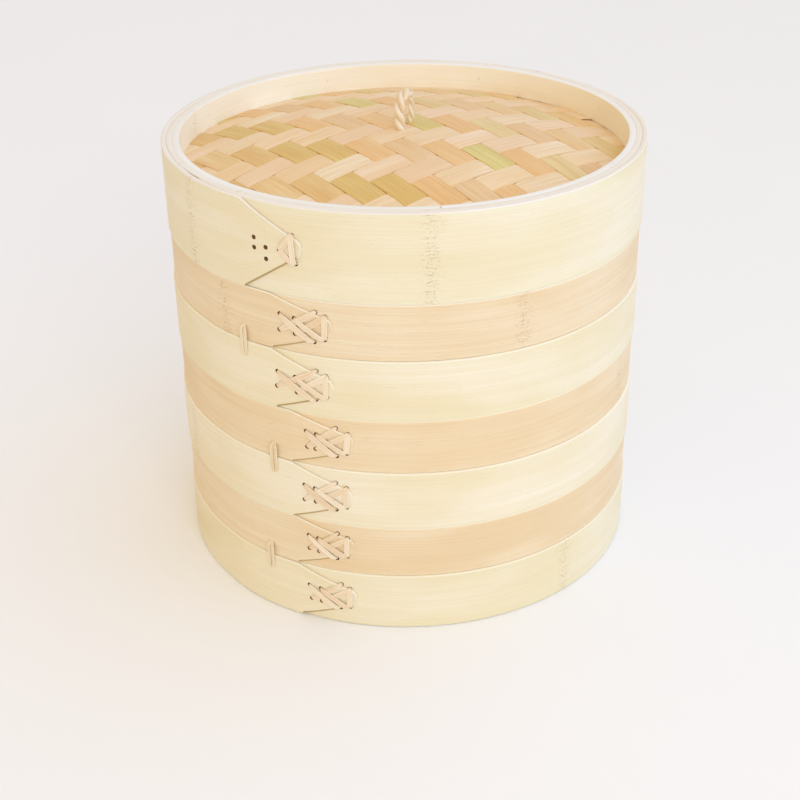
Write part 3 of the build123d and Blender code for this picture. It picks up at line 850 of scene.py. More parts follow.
for hoop in ROWS:
    hand = random.Random(hoop.node + " lacing")
    holes = marked_holes(hoop)
    lacing = Piece(f"{hoop.node}_laced")
    for here, there, layer in LID_STITCHES if hoop.node == "lid_hoop" else JOINT_STITCHES:
        blend = 0.0 if here == "end up" else hand.uniform(0.1, 1.0)
        tone = tuple(a + (b - a) * blend for a, b in zip(PALE, PINKISH))
        stitch(lacing, hoop, holes[here], holes[there], layer, tone, hand)
    lacing.make(hoop.body, [f"{hoop.node}_lacing"], LACING)

# %% [markdown]
# ## Ties
#
# A tier's two hoops, its wall and the clamp ring inside are bound together on each side by a tie: a
# splint that goes in and out of two holes, twice over. It lies across the seam, so it has to bridge
# the step between the thin upper hoop and the proud lower one.

# %% Tie the hoops together
TIE_ANGLES = {"bottom": -34.7, "middle": -31.9, "top": -38.4}
TIE_REACH = 7.5 * MM
TIE_TONE = (0.97, 0.95, 0.88)


def tie_width(share):
    return (0.9 + 1.0 * ease(min(share, 1 - share) / 0.3)) * MM


for number, tier in enumerate(TIERS):
    lower, upper = [hoop for hoop in ROWS if hoop.body == f"{tier}_tier"]
    seam = number * TIER + LOWER
    tie = Piece(f"{tier}_tier_ties_bound")
    hand = random.Random(tier)
    for angle in (TIE_ANGLES[tier], TIE_ANGLES[tier] + 180):
        outside = max(outer_face(angle, seam - 5 * MM, lower), outer_face(angle, seam + 5 * MM, upper))
        for wrap in (-0.52, 0.52):
            a = angle + wrap
            reach = TIE_REACH + hand.uniform(-0.2, 0.2) * MM
            upper_face = outer_face(angle, seam + reach, upper)
            lower_face = outer_face(angle, seam - reach, lower)
            edge = angle + wrap * 0.3
            points = [
                on_ring(upper_face - 2.5 * MM, angle, seam + reach),
                on_ring(upper_face + 0.1 * MM, edge, seam + reach),
                on_ring(outside + 0.2 * MM, a, seam + reach - 2 * MM),
                on_ring(outside + 0.25 * MM, a, seam),
                on_ring(outside + 0.2 * MM, a, seam - reach + 2 * MM),
                on_ring(lower_face + 0.1 * MM, edge, seam - reach),
                on_ring(lower_face - 2.5 * MM, angle, seam - reach),
            ]
            stations = splint_stations(smooth_path(points), on_ring(1.0, a), tie_width, 0.5 * MM)
            tie.strip(stations, corner=0.2 * MM, rows=2, tone=TIE_TONE, seed=hand.uniform(0, 9))
        points = [
            on_ring(LINER_INSIDE + 2 * MM, angle, seam + TIE_REACH),
            on_ring(LINER_INSIDE, angle, seam + TIE_REACH),
            on_ring(LINER_INSIDE - 0.4 * MM, angle, seam + 5 * MM),
            on_ring(LINER_INSIDE - 0.4 * MM, angle, seam - 5 * MM),
            on_ring(LINER_INSIDE, angle, seam - TIE_REACH),
            on_ring(LINER_INSIDE + 2 * MM, angle, seam - TIE_REACH),
        ]
        inward = on_ring(-1.0, angle)
        stations = splint_stations(smooth_path(points), inward, lambda s: 1.3 * tie_width(s), 0.5 * MM)
        tie.strip(stations, corner=0.2 * MM, rows=2, seed=hand.uniform(0, 9))
    tie.make(f"{tier}_tier", [f"{tier}_tier_hoop_ties"], LACING)

# %% [markdown]
# ## Walls and rings
#
# Inside the hoops stands a broad wall whose ends are shaved to lie on each other in a scarf. The
# narrower rings that grip the floor and the lid are only sprung in, so their ends meet in a butt
# joint with a hair of a gap. Both are strips again, and an open strip shows its joint by itself,
# which a closed ring never would.

# %% Springing in a ring
SCARF = 12.0


def ring_strip(piece, inside, thick, low, high, joint, scarf, seed, tone=(1, 1, 1), knots=()):
    """A ring of bent strip that starts and ends at an angle, scarfed or butted."""
    full_turn = 360 + SCARF if scarf else 360 - math.degrees(0.7 * MM / inside)
    count = 190
    metres = math.radians(1) * inside

    def near(along):
        return max([0.0] + [math.exp(-(((along / metres - k) * metres / (3 * MM)) ** 2)) for k in knots])

    def station(turned):
        inner, wide = inside, thick
        if scarf and turned < SCARF:
            wide = max(0.2 * MM, thick * turned / SCARF)
        if scarf and turned > 360:
            shaved = thick * (turned - 360) / SCARF
            inner, wide = inside + shaved + 0.05 * MM, max(0.15 * MM, thick - shaved - 0.05 * MM)
        degrees = joint + turned
        dip = 0.12 * MM * (1 + waver(degrees / 30, seed))

        def place(x, y):
            bow = 0.0 if y > wide / 2 else 0.08 * MM * max(0.0, waver(x / (8 * MM), degrees / 12, seed))
            return on_ring(inner + y + bow, degrees, (low + high - dip) / 2 + x)

        return Station(turned * metres, high - low - dip, wide, place)

    stops = [full_turn * k / count for k in range(count + 1)]
    stations = [station(turned) for turned in stops]
    piece.strip(stations, corner=0.25 * MM, rows=5, tone=tone, seed=seed * 3.3, knots=near)


# %% Walls and rings of the tiers
SUPPORT_TOP = 17.0 * MM
SLAT = 3.2 * MM
FLOOR_TOP = SUPPORT_TOP + SLAT
CLAMP_TOP = 40.0 * MM
BAR_X = 46.0 * MM
BAR_WIDE = 12.0 * MM
BAR_THICK = 5.6 * MM

for number, tier in enumerate(TIERS):
    base = number * TIER
    body = f"{tier}_tier"
    wall = Piece(f"{tier}_tier_wall_bent")
    foot, lip, joint = base + NEST + SEAT_GAP, base + TIER + NEST, 100 + 31 * number
    ring_strip(wall, WALL_INSIDE, WALL, foot, lip, joint, True, 20.0 + number, knots=(70, 205, 300))
    wall.make(body, [f"{tier}_tier_inner_wall"], [planed_wall, cut_edge])
    clamp = Piece(f"{tier}_tier_clamp_sprung")
    low, high, joint = base + FLOOR_TOP, base + CLAMP_TOP, 160 - 47 * number
    ring_strip(clamp, LINER_INSIDE, LINER, low, high, joint, False, 24.0 + number,
               tone=(0.98, 0.96, 0.93), knots=(120, 262))
    clamp.make(body, [f"{tier}_tier_clamp_ring"], [planed_wall, cut_edge])

# %% [markdown]
# ## Notched support ring
#
# The ring under the slats is notched so that the cross bars drop in flush. The strip helper can't
# leave a notch, so the same boolean cut as the drilling does it, with a box for a tool.

# %% Support rings
for number, tier in enumerate(TIERS):
    base = number * TIER
    support = Piece(f"{tier}_tier_support_sprung")
    foot, top, joint = base + NEST + SEAT_GAP, base + SUPPORT_TOP, 75 + 53 * number
    ring_strip(support, LINER_INSIDE, LINER, foot, top, joint, False, 28.0 + number,
               tone=(0.98, 0.96, 0.92), knots=(33, 230))
    ring = support.make(f"{tier}_tier", [f"{tier}_tier_support_ring"], [planed_wall, cut_edge])
    half, reach, depth = BAR_WIDE / 2 + 0.1 * MM, 150 * MM, BAR_THICK + 0.1 * MM
    notch(ring, [(Vector((x - half, -reach, top - depth)), Vector((x + half, reach, top + 10 * MM)))
                 for x in (-BAR_X, BAR_X)])

# %% [markdown]
# ## The slatted floor
#
# Two half-round bars carry thirteen flat slats, and a splint is wound round bar and slats to hold
# them. Each slat is planed by hand, so each differs a little in width, tone and how it lies. The
# slats end on a circle: every line along a slat is cut to its own length, which a row of boxes
# would not do.

# %% Bars
FLOOR_RADIUS = WALL_INSIDE - 0.3 * MM

for number, tier in enumerate(TIERS):
    base = number * TIER
    for side, x_bar in (("left", -BAR_X), ("right", BAR_X)):
        bar = Piece(f"{tier}_tier_{side}_bar_split")
        reach = math.sqrt(FLOOR_RADIUS ** 2 - (BAR_X + BAR_WIDE / 2) ** 2)
        top = base + SUPPORT_TOP
        seed = 40.0 + number + (0.5 if side == "left" else 0.0)
        rings = (-0.46 + 0.1 * number, 0.38 - 0.13 * number)

        def swell(share, rings=rings):
            return max(math.exp(-(((share - r) / 0.022) ** 2)) for r in rings)

        def bar_station(k, x_bar=x_bar, reach=reach, top=top, seed=seed):
            share = -1 + 2 * k / 70
            grown = 1 + 0.035 * swell(share) if abs(share) < 0.97 else 1

            def place(x, y):
                arch = 0.26 + 0.74 * math.sqrt(max(0.0, 1 - 0.985 * (2 * x / BAR_WIDE) ** 2))
                depth = y * arch * min(1.0, 0.97 * grown)
                return Vector((x_bar + x * min(1.0, grown), share * reach, top - depth))

            return Station(share * reach, BAR_WIDE, BAR_THICK, place)

        stations = [bar_station(k) for k in range(71)]
        bar.strip(stations, corner=0.5 * MM, rows=12, seed=seed,
                  knots=lambda along, reach=reach: swell(along / reach))
        bar.make(f"{tier}_tier", [f"{tier}_tier_{side}_cross_bar"], [green_bar, cut_edge])

# %% Slats
SLAT_COUNT = 13
SLAT_PITCH = 17.0 * MM
SLAT_WIDE = 12.5 * MM

for number, tier in enumerate(TIERS):
    bottom = number * TIER + SUPPORT_TOP
    floor = Piece(f"{tier}_tier_slats_planed")
    hand = random.Random(f"{tier} slats")
    for k in range(SLAT_COUNT):
        y_slat = SLAT_PITCH * (k - (SLAT_COUNT - 1) / 2) + hand.uniform(-0.25, 0.25) * MM
        wide = SLAT_WIDE - hand.uniform(0.0, 0.6) * MM
        light = hand.uniform(0.93, 1.03)
        tone = (light, light * hand.uniform(0.975, 1.0), light * hand.uniform(0.93, 1.0))
        marks = [hand.uniform(-0.9, 0.9)]
        seed = hand.uniform(0, 30)

        def slat_station(step, y_slat=y_slat, wide=wide, seed=seed, bottom=bottom):
            share = -1 + step / 20

            def place(x, y):
                reach = math.sqrt(max(1e-6, FLOOR_RADIUS ** 2 - (y_slat + x) ** 2))
                crown = 0.12 * MM * (1 - (2 * x / wide) ** 2) if y > SLAT / 2 else 0.0
                return Vector((share * reach, y_slat + x, bottom + y - 0.14 * MM * (y > SLAT / 2) + crown))

            return Station(share * FLOOR_RADIUS, wide, SLAT, place)

        def slat_knots(along, marks=marks):
            return max(math.exp(-(((along - m * FLOOR_RADIUS) / (2.2 * MM)) ** 2)) for m in marks)

        stations = [slat_station(step) for step in range(41)]
        floor.strip(stations, corner=0.5 * MM, rows=4, tone=tone, seed=seed, knots=slat_knots)
    floor.make(f"{tier}_tier", [f"{tier}_tier_floor_slats"], [slat_bamboo, cut_edge])

# %% Floor lashings
LASH_THICK = 0.6 * MM


def lashing_points(x_bar, base):
    """A splint wound along one bar: slanting over each slat, round the sides and under in each gap."""
    top = base + FLOOR_TOP + 0.15 * MM
    low = base + SUPPORT_TOP - BAR_THICK - 0.1 * MM
    side = BAR_WIDE / 2 + 0.25 * MM
    gaps = [SLAT_PITCH * (k - (SLAT_COUNT - 2) / 2) for k in range(SLAT_COUNT - 1)]
    left, right = x_bar - side, x_bar + side
    under = [
        (right, top - 0.9 * MM), (right + 0.1 * MM, (top + low) / 2), (right - 0.7 * MM, low + 1.6 * MM),
        (x_bar, low - 0.1 * MM),
        (left + 0.7 * MM, low + 1.6 * MM), (left - 0.1 * MM, (top + low) / 2), (left, top - 0.9 * MM),
    ]
    points = []
    for index, y in enumerate(gaps):
        points += [Vector((x, y, z)) for x, z in under]
        if index < len(gaps) - 1:
            for share in (0.12, 0.5, 0.88):
                points.append(Vector((left + 2 * side * share, y + SLAT_PITCH * share, top + 0.1 * MM)))
    return points


def wound_stations(curve, x_bar, base):
    """Stations whose outside always faces away from the bar's heart."""
    heart = base + SUPPORT_TOP - 1.0 * MM
    made, distance = [], 0.0
    for k, point in enumerate(curve):
        if k:
            distance += (point - curve[k - 1]).length
        tangent = (curve[min(k + 1, len(curve) - 1)] - curve[max(k - 1, 0)]).normalized()
        out = Vector((point.x - x_bar, 0, point.z - heart))
        out = (out - tangent * out.dot(tangent)).normalized()
        side = tangent.cross(out)

        def place(x, y, point=point, side=side, out=out):
            return point + side * x + out * y

        made.append(Station(distance, 2.3 * MM, LASH_THICK, place))
    return made


for number, tier in enumerate(TIERS):
    base = number * TIER
    lash = Piece(f"{tier}_tier_lashings_wound")
    for x_bar in (-BAR_X, BAR_X):
        curve = smooth_path(lashing_points(x_bar, base), 4)
        seed = 60 + number + x_bar * 100
        lash.strip(wound_stations(curve, x_bar, base), corner=0.2 * MM, rows=2, seed=seed)
    lash.make(f"{tier}_tier", [f"{tier}_tier_floor_lashings"], LACING)

# %% [markdown]
# ## Pins
#
# Small bamboo nails hold the rings to the walls. They are whittled, not turned, so each rod has a
# rounded head that stands half a millimetre proud inside.

# %% Rods and pins
def rod(piece, curve, girth, sides=12, seed=0.0, tone=(1, 1, 1), outward=Vector((0, 0, 1)), flat=1.0):
    """A round bar along a curve. girth gives the radius by share of the way, flat squeezes it one way."""
    frames = carried_frames(curve, outward, 0)
    total = frames[-1][3]
    first = len(piece.points)
    for point, side, out, distance in frames:
        radius = girth(distance / total)
        for k in range(sides):
            a = 2 * math.pi * k / sides
            piece.points.append(point + side * radius * math.cos(a) + out * radius * flat * math.sin(a))
            piece.knuckles.append(0.0)
    wrap = 2 * math.pi * girth(0.5)
    for k in range(len(frames) - 1):
        for j in range(sides):
            i = (j + 1) % sides
            a, b = first + k * sides, first + (k + 1) * sides
            piece.faces.append((a + j, b + j, b + i, a + i))
            piece.kinds.append(0)
            d0, d1 = frames[k][3] + seed, frames[k + 1][3] + seed
            v0, v1 = wrap * j / sides, wrap * (j + 1) / sides
            piece.strip_uv += [(d0, v0), (d1, v0), (d1, v1), (d0, v1)]
            piece.share_uv += [(0.0, 0.5)] * 4
            piece.tones += [tone] * 4
    for k in (0, len(frames) - 1):
        piece.faces.append([first + k * sides + j for j in range(sides)])
        piece.kinds.append(1)
        for j in range(sides):
            a = 2 * math.pi * j / sides
            piece.strip_uv.append((seed + math.cos(a) * wrap / 6, math.sin(a) * wrap / 6))
            piece.share_uv.append((0.0, 0.5))
            piece.tones.append(tone)


def pin_girth(share):
    """A rounded head at the start."""
    return 1.1 * MM * (0.55 + 0.45 * ease(share / 0.05))


PIN_COUNT = 8


def pin_row(piece, height, inside, offset, seed):
    """A ring of pins at one height."""
    for k in range(PIN_COUNT):
        a = 360 / PIN_COUNT * (k + offset)
        lengths = (0.0, 0.02, 0.05, 0.3, 1.0)
        depth = HOOP_INSIDE - 0.05 * MM - inside
        curve = [on_ring(inside + depth * s, a, height) for s in lengths]
        rod(piece, curve, pin_girth, seed=seed + k)


for number, tier in enumerate(TIERS):
    pins = Piece(f"{tier}_tier_pins_whittled")
    pin_row(pins, number * TIER + 30 * MM, LINER_INSIDE - 0.5 * MM, 0.5, 70 + number)
    pin_row(pins, number * TIER + 12.6 * MM, LINER_INSIDE - 0.5 * MM, 0.0, 80 + number)
    pins.make(f"{tier}_tier", [f"{tier}_tier_wall_pins"], [whittled, cut_edge])

# %% [markdown]
# ## The rings of the lid
#
# The lid's rim is three strips thick at the top: the hoop, an inner hoop that stops short below so
# that the skirt can drop over a tier, and the clamp ring that traps the weave. Seen from above
# their planed edges make three pale rings with fine dark lines between them.

# %% Lid rings
RING_INSIDE = 111.2 * MM
RING_OUTSIDE = 114.4 * MM
RING_THICK = RING_OUTSIDE - RING_INSIDE
DOME_RISE = 13.5 * MM
DOME_RADIUS = (RING_INSIDE ** 2 + DOME_RISE ** 2) / (2 * DOME_RISE)
WEAVE = 1.5 * MM
LEAF = 0.5 * MM
LINING = 1.2 * MM


def dome(radius, depth=0.0):
    """Height of the woven dome at a distance from its middle, or of a layer below its top."""
    ball = DOME_RADIUS - depth
    return RIM - DOME_RADIUS + math.sqrt(ball ** 2 - radius ** 2)


inner_hoop = Piece("lid_inner_hoop_bent")
inner_foot, inner_thick = STACK_TOP + NEST + SEAT_GAP, HOOP_INSIDE - RING_OUTSIDE
ring_strip(inner_hoop, RING_OUTSIDE, inner_thick, inner_foot, RIM, 130, True, 90.0, knots=(35, 190))
inner_hoop.make("lid", ["lid_inner_hoop"], [planed_wall, cut_edge])
clamp = Piece("lid_clamp_ring_sprung")
sunk = dome(RING_INSIDE) - 0.8 * MM
# Painted light: the clamp ring is toned paler and cooler so that its shaded inside face looks as lit as under
# a strong front light.
clamp_painted_light = (1.02, 1.07, 1.13)
ring_strip(clamp, RING_INSIDE, RING_THICK, sunk, RIM, 8, False, 91.0, tone=clamp_painted_light, knots=(50, 248))
clamp.make("lid", ["lid_clamp_ring"], [planed_wall, cut_edge])
under = Piece("lid_under_ring_sprung")
under_top = dome(114.1 * MM, WEAVE + LEAF + LINING)
under_foot = STACK_TOP + 9.3 * MM
ring_strip(under, RING_INSIDE, RING_THICK, under_foot, under_top, 205, False, 92.0, knots=(140, 310))
under.make("lid", ["lid_under_ring"], [planed_wall, cut_edge])

lid_pins = Piece("lid_pins_whittled")
for height, seed in (((dome(RING_INSIDE) + RIM) / 2, 95), ((STACK_TOP + 8.3 * MM + under_top) / 2, 97)):
    pin_row(lid_pins, height, RING_INSIDE - 0.05 * MM, 0.5, seed)
lid_pins.make("lid", ["lid_pins"], [whittled, cut_edge])

# %% [markdown]
# ## Weaving the lid
#
# The top is a twill: two sets of flat splints cross at a slant, and each goes over two and under
# two, one step further along in every row, which draws bands of leaning blocks across the lid. A
# bump texture could hint at it, but the splints here really cross. For a point on a splint, the
# crossing splint's number decides whether it is up or down, and it eases from one to the other in
# the gap between two splints. A shallow dome lifts it all.

# %% How splints cross
LEAN = math.radians(47.0)
CLOTH_TURN = math.radians(-7.2)
TWILL_PITCH = 13.79 * MM
WEAVE_EDGE = 114.0 * MM
Weave = namedtuple("Weave", "pitch lean turn middle over repeat depth thick lift gap")


def over_at(first, second, weave):
    """True where the first set lies over the second, by the numbers of the two splints."""
    return (first + second) % weave.repeat < weave.over


def up_or_down(own, crossing, weave):
    """+1 where the right-leaning splint is over, -1 where it is under, easing between two crossings."""
    near = math.floor(crossing + 0.5)
    inside = crossing - near
    here = 1.0 if over_at(own, near, weave) else -1.0
    there = 1.0 if over_at(own, near + (1 if inside > 0 else -1), weave) else -1.0
    return here if here == there else here + (there - here) * ease((abs(inside) - 0.26) / 0.48)


def splint_of_weave(weave, leaning, own, wide, crown):
    """Stations of one splint. leaning is +1 for the set that leans right, -1 for the other."""
    turned = Matrix.Rotation(weave.turn, 2)
    along_dir = turned @ Vector((leaning * math.cos(weave.lean), math.sin(weave.lean)))
    across_dir = turned @ Vector((-leaning * math.sin(weave.lean), math.cos(weave.lean)))
    other_across = turned @ Vector((leaning * math.sin(weave.lean), math.cos(weave.lean)))
    middle = Vector(weave.middle)
    from_middle = own * weave.pitch + middle.dot(across_dir)
    if abs(from_middle) + wide / 2 >= WEAVE_EDGE - 0.5 * MM:
        return []
    reach_mid = math.sqrt(WEAVE_EDGE ** 2 - from_middle ** 2)
    count = max(12, int(2 * reach_mid / (1.7 * MM)))
    ball = DOME_RADIUS - weave.depth

    def station(k):
        share = -1 + 2 * k / count

        def place(x, y):
            a = from_middle + x
            reach = math.sqrt(max(1e-8, WEAVE_EDGE ** 2 - a ** 2))
            flat = across_dir * a + along_dir * (share * reach)
            crossing = (flat - middle).dot(other_across) / weave.pitch
            side = up_or_down(own, crossing, weave) * leaning
            bulge = crown * (1 - (2 * x / wide) ** 2) * (1 if y > weave.thick / 2 else 0.4)
            level = side * weave.lift + y - weave.thick / 2 + bulge - crown / 2
            z = RIM - DOME_RADIUS + math.sqrt(ball ** 2 - flat.length_squared)
            return Vector((flat.x, flat.y, z + level))

        return Station(share * reach_mid, wide, weave.thick, place)

    return [station(k) for k in range(count + 1)]


# %% Dyes of the splints
DYES = {
    "cream": (1.0, 1.0, 1.02), "blush": (1.0, 0.96, 1.0), "tan": (0.99, 0.94, 0.90),
    "straw": (0.93, 0.83, 0.62), "ochre": (0.88, 0.75, 0.48), "gold": (0.84, 0.75, 0.40),
    "orange": (0.96, 0.80, 0.58), "rose": (0.93, 0.83, 0.71), "green": (0.80, 0.83, 0.46),
    "olive": (0.88, 0.84, 0.60),
}
FIRST = -6
RIGHT_LEANING = (
    "cream cream cream cream blush blush cream tan blush tan tan cream blush cream "
    "tan cream blush tan cream cream tan"
).split()
LEFT_LEANING = (
    "straw ochre straw ochre straw ochre gold gold orange rose orange green orange olive "
    "rose straw olive straw ochre straw orange"
).split()

# %% Weave the top
CLOTH_MIDDLE = (-33.6 * MM, -53.6 * MM)
twill = Weave(TWILL_PITCH, LEAN, CLOTH_TURN, CLOTH_MIDDLE, 2, 4, 0.75 * MM, 0.6 * MM, 0.40 * MM, 0.12 * MM)
top_weave = Piece("lid_top_woven")
hand = random.Random("weave")
for leaning, names in ((1, RIGHT_LEANING), (-1, LEFT_LEANING)):
    for own in range(FIRST - 6, FIRST + 26):
        wide = twill.pitch - twill.gap - hand.uniform(0.0, 0.3) * MM
        light = hand.uniform(0.98, 1.01)
        stations = splint_of_weave(twill, leaning, own, wide, 0.16 * MM)
        tone = tuple(light * v for v in DYES[names[(own - FIRST) % len(names)]])
        if stations:
            top_weave.strip(stations, corner=0.2 * MM, rows=4, tone=tone, seed=100 + own * 1.7 + leaning * 40)
top_weave.make("lid", ["lid_woven_top"], WOVEN)

# %% [markdown]
# ## Leaf and lining
#
# Under the weave lie dried leaves that keep the steam in, and under them a plainer woven lining
# that is seen when the lid is turned over. The leaves show only as dark points where splints part,
# so a single domed sheet with a few ripples is enough.

# %% Leaf layer
leaf = Piece("lid_leaf_pressed")
RINGS, SPOKES = 26, 72
leaf_depth = WEAVE + LEAF / 2


def leaf_point(ring, spoke, side):
    radius = WEAVE_EDGE * ring / RINGS
    a = 2 * math.pi * spoke / SPOKES
    ripple = 0.08 * MM * waver(radius / 0.012, a * 5)
    ball = DOME_RADIUS - leaf_depth
    z = RIM - DOME_RADIUS + math.sqrt(ball ** 2 - radius ** 2) + ripple + side * 0.12 * MM
    return Vector((radius * math.cos(a), radius * math.sin(a), z))


def leaf_face(corners):
    """Adds one face, laid out flat for the fibres."""
    leaf.faces.append(corners)
    leaf.kinds.append(0)
    for corner in corners:
        leaf.strip_uv.append(tuple(leaf.points[corner].xy))
        leaf.share_uv.append((0.0, 0.5))
        leaf.tones.append((1, 1, 1))


def leaf_sheet(side):
    """One side of the leaf layer, as rings of quads round a middle. Returns the first point of its edge."""
    first = len(leaf.points)
    for ring in range(1, RINGS + 1):
        for spoke in range(SPOKES):
            leaf.points.append(leaf_point(ring, spoke, side))
            leaf.knuckles.append(0.0)
    for ring in range(RINGS - 1):
        for spoke in range(SPOKES):
            after = (spoke + 1) % SPOKES
            a, b = first + ring * SPOKES, first + (ring + 1) * SPOKES
            leaf_face((a + spoke, b + spoke, b + after, a + after))
    leaf_face([first + spoke for spoke in range(SPOKES)])
    return first + (RINGS - 1) * SPOKES


upper_edge = leaf_sheet(1)
lower_edge = leaf_sheet(-1)
for spoke in range(SPOKES):
    after = (spoke + 1) % SPOKES
    leaf_face((upper_edge + spoke, lower_edge + spoke, lower_edge + after, upper_edge + after))
leaf.make("lid", ["lid_leaf_layer"], [dried_leaf])

# %% Woven lining
lining_depth = WEAVE + LEAF + LINING / 2
sizes = (0.45 * MM, 0.34 * MM, 0.5 * MM)
plain = Weave(18.0 * MM, math.radians(45), 0.0, (0.0, 0.0), 1, 2, lining_depth, *sizes)
lining = Piece("lid_lining_woven")
for leaning in (1, -1):
    for own in range(-6, 7):
        wide = plain.pitch - plain.gap - hand.uniform(0.0, 0.6) * MM
        stations = splint_of_weave(plain, leaning, own, wide, 0.0)
        light = hand.uniform(0.92, 1.0)
        tone, seed = (light, light * 0.93, light * 0.8), 200 + own * 1.3 + leaning * 30
        if stations:
            lining.strip(stations, corner=0.18 * MM, rows=3, tone=tone, seed=seed)
lining.make("lid", ["lid_woven_lining"], WOVEN)

# %% [markdown]
# ## The loop that lifts the lid
#
# Two splints are twisted into a cord, brought up through the weave, bent over into a loop and pegged
# below. Twisting is a helix round the loop's own line. The front leg is full and loosely laid, and
# the back one is pulled tight, so the helix and the splints narrow as they go round.

# %% Twisted loop
LOOP_RADIUS = 2.6 * MM
LOOP_HALF = 6.6 * MM
LOOP_TOP = 18.5 * MM
LOOP_YAW = 26.0
LOOP_AT = Vector((0.8 * MM, 0.8 * MM, 0.0))
PEG_RADIUS = 3.9 * MM
PEG_LONG = 34.0 * MM
loop_across = Vector((math.sin(math.radians(LOOP_YAW)), math.cos(math.radians(LOOP_YAW)), 0))
loop_normal = Vector((loop_across.y, -loop_across.x, 0))
bend_low = dome(PEG_LONG / 2, WEAVE + LEAF + LINING) - 0.05 * MM - PEG_RADIUS
bend_high = RIM + LOOP_TOP - LOOP_RADIUS - LOOP_HALF


def loop_line(count):
    """The middle line of the closed loop: front leg up, over, back leg down, and under."""
    straight = bend_high - bend_low
    turn = math.pi * LOOP_HALF
    total = 2 * straight + 2 * turn
    line = []
    for k in range(count):
        d = total * k / count
        if d < straight:
            across, up = -LOOP_HALF, bend_low + d
        elif d < straight + turn:
            a = (d - straight) / LOOP_HALF
            across, up = -LOOP_HALF * math.cos(a), bend_high + LOOP_HALF * math.sin(a)
        elif d < 2 * straight + turn:
            across, up = LOOP_HALF, bend_high - (d - straight - turn)
        else:
            a = (d - 2 * straight - turn) / LOOP_HALF
            across, up = LOOP_HALF * math.cos(a), bend_low - LOOP_HALF * math.sin(a)
        line.append((LOOP_AT + loop_across * across + Vector((0, 0, up)), d / total))
    return line, total


def twisted_strand(piece, phase, seed, tone):
    """One of the two splints of the cord, wound round the loop's line."""
    line, total = loop_line(150)
    count = len(line)
    turns = 6
    curve = []
    for k, (point, share) in enumerate(line):
        tangent = (line[(k + 1) % count][0] - line[k - 1][0]).normalized()
        out = loop_normal.cross(tangent)
        a = 2 * math.pi * turns * share + phase
        full = 1.0 - 0.42 * ease((share - 0.36) / 0.12) + 0.42 * ease((share - 0.88) / 0.1)
        curve.append((point + (loop_normal * math.cos(a) + out * math.sin(a)) * 1.35 * MM * full, full))
    points = [p for p, _ in curve] + [curve[0][0].copy()]
    swell = [f for _, f in curve] + [curve[0][1]]

    def girth(share):
        return 1.6 * MM * swell[min(len(swell) - 1, int(share * (len(swell) - 1)))]

    rod(piece, points, girth, sides=10, seed=seed, tone=tone, outward=loop_normal, flat=0.92)


loop = Piece("lid_loop_twisted")
twisted_strand(loop, 0.0, 300, (1.02, 1.05, 1.12))
twisted_strand(loop, math.pi, 305, (1.0, 1.01, 1.03))
loop.make("lid", ["lid_loop"], LACING)

peg = Piece("lid_loop_peg_whittled")
peg_middle = Vector((LOOP_AT.x, LOOP_AT.y, bend_low))
peg_line = [peg_middle + loop_normal * PEG_LONG * (k / 24 - 0.5) for k in range(25)]


def peg_girth(share):
    """Nearly even, with rounded ends and the knife's waver."""
    rounded = 0.82 + 0.18 * ease(min(share, 1 - share) / 0.06)
    return (PEG_RADIUS - 0.15 * MM) * rounded * (1 - 0.03 * abs(waver(share * 9)))


rod(peg, peg_line, peg_girth, sides=9, seed=310)
peg.make("lid", ["lid_loop_peg"], [whittled, cut_edge])

# %% [markdown]
# ## Floor, light and camera
#
# A product table: a pale sheet, a broad soft light above the camera, a weak cool one on the right, and
# a bright sky that goes from warm on the left to cool on the right, so that no shadow is hard and the
# round sides still turn. The camera stands where a buyer would, looking down on the lid with a longish
# lens, near enough that the stack narrows towards the table.

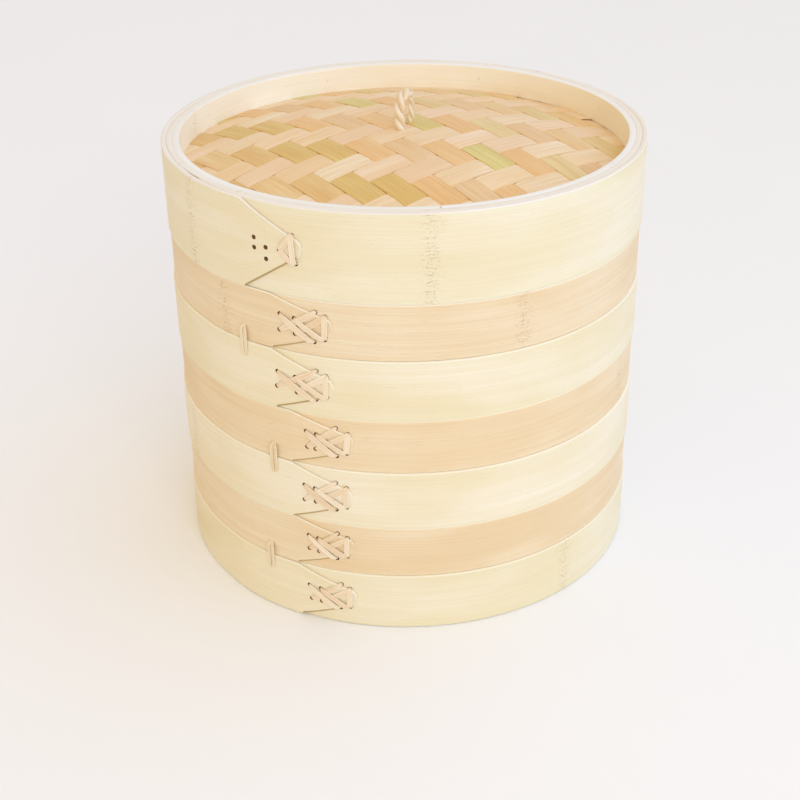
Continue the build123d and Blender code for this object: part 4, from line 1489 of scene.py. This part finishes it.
# %% Floor
bpy.ops.mesh.primitive_grid_add(x_subdivisions=2, y_subdivisions=2, size=8.0, location=(0, 0, -0.0003))
table = bpy.context.object
table.name = "table_sheet"
sheet = bpy.data.materials.new("Table sheet")
sheet.use_nodes = True
tree = sheet.node_tree
paper = add(tree, "TexNoise", {"Scale": 40.0, "Detail": 2.0}).outputs[0]
white = stain(tree, paper, shade(250, 250, 250), shade(253, 253, 253))
shader = tree.nodes["Principled BSDF"]
tree.links.new(white, shader.inputs["Base Color"])
shader.inputs["Roughness"].default_value = 0.8
table.data.materials.append(sheet)

# %% Light
sky = bpy.data.worlds.new("Sky")
bpy.context.scene.world = sky
sky.use_nodes = True
tree = sky.node_tree
place = add(tree, "TexCoord").outputs["Generated"]
side = steps(tree, add(tree, "SeparateXYZ", {0: place}).outputs[0], -0.9, 0.9)
warm_to_cool = stain(tree, side, (0.81, 0.66, 0.44, 1.0), (0.89, 0.98, 1.20, 1.0))
tree.links.new(warm_to_cool, tree.nodes["Background"].inputs["Color"])
tree.nodes["Background"].inputs["Strength"].default_value = 1.0


def soft_light(name, place, target, size, watts, colour):
    """A square softbox aimed at a point."""
    lamp = bpy.data.lights.new(name, "AREA")
    lamp.shape = "SQUARE"
    lamp.size = size
    lamp.energy = watts
    lamp.color = colour
    holder = bpy.data.objects.new(name, lamp)
    holder.location = place
    holder.rotation_euler = (Vector(target) - Vector(place)).to_track_quat("-Z", "Y").to_euler()
    bpy.context.scene.collection.objects.link(holder)


soft_light("key_softbox", (0.45, -1.7, 1.05), (0, 0, 0.12), 0.9, 7.0, (1.0, 1.0, 1.0))
soft_light("side_softbox", (1.5, -0.7, 0.7), (0, 0, 0.12), 0.8, 0.8, (0.93, 0.97, 1.0))

# %% Camera
LENS = 63.4
DOWN, TURN, ROLL = 28.94, 0.34, -0.89
camera_data = bpy.data.cameras.new("camera")
camera_data.lens = LENS
camera_data.sensor_width = 36.0
camera = bpy.data.objects.new("camera", camera_data)
stand = Matrix.Translation((0.0, -0.6798, RIM + 0.2196))
tilt = Matrix.Rotation(math.radians(TURN), 4, "Z") @ Matrix.Rotation(math.radians(90 - DOWN), 4, "X")
camera.matrix_world = stand @ tilt @ Matrix.Rotation(math.radians(ROLL), 4, "Z")
bpy.context.scene.collection.objects.link(camera)
bpy.context.scene.camera = camera
bpy.context.scene.view_settings.view_transform = "Standard"
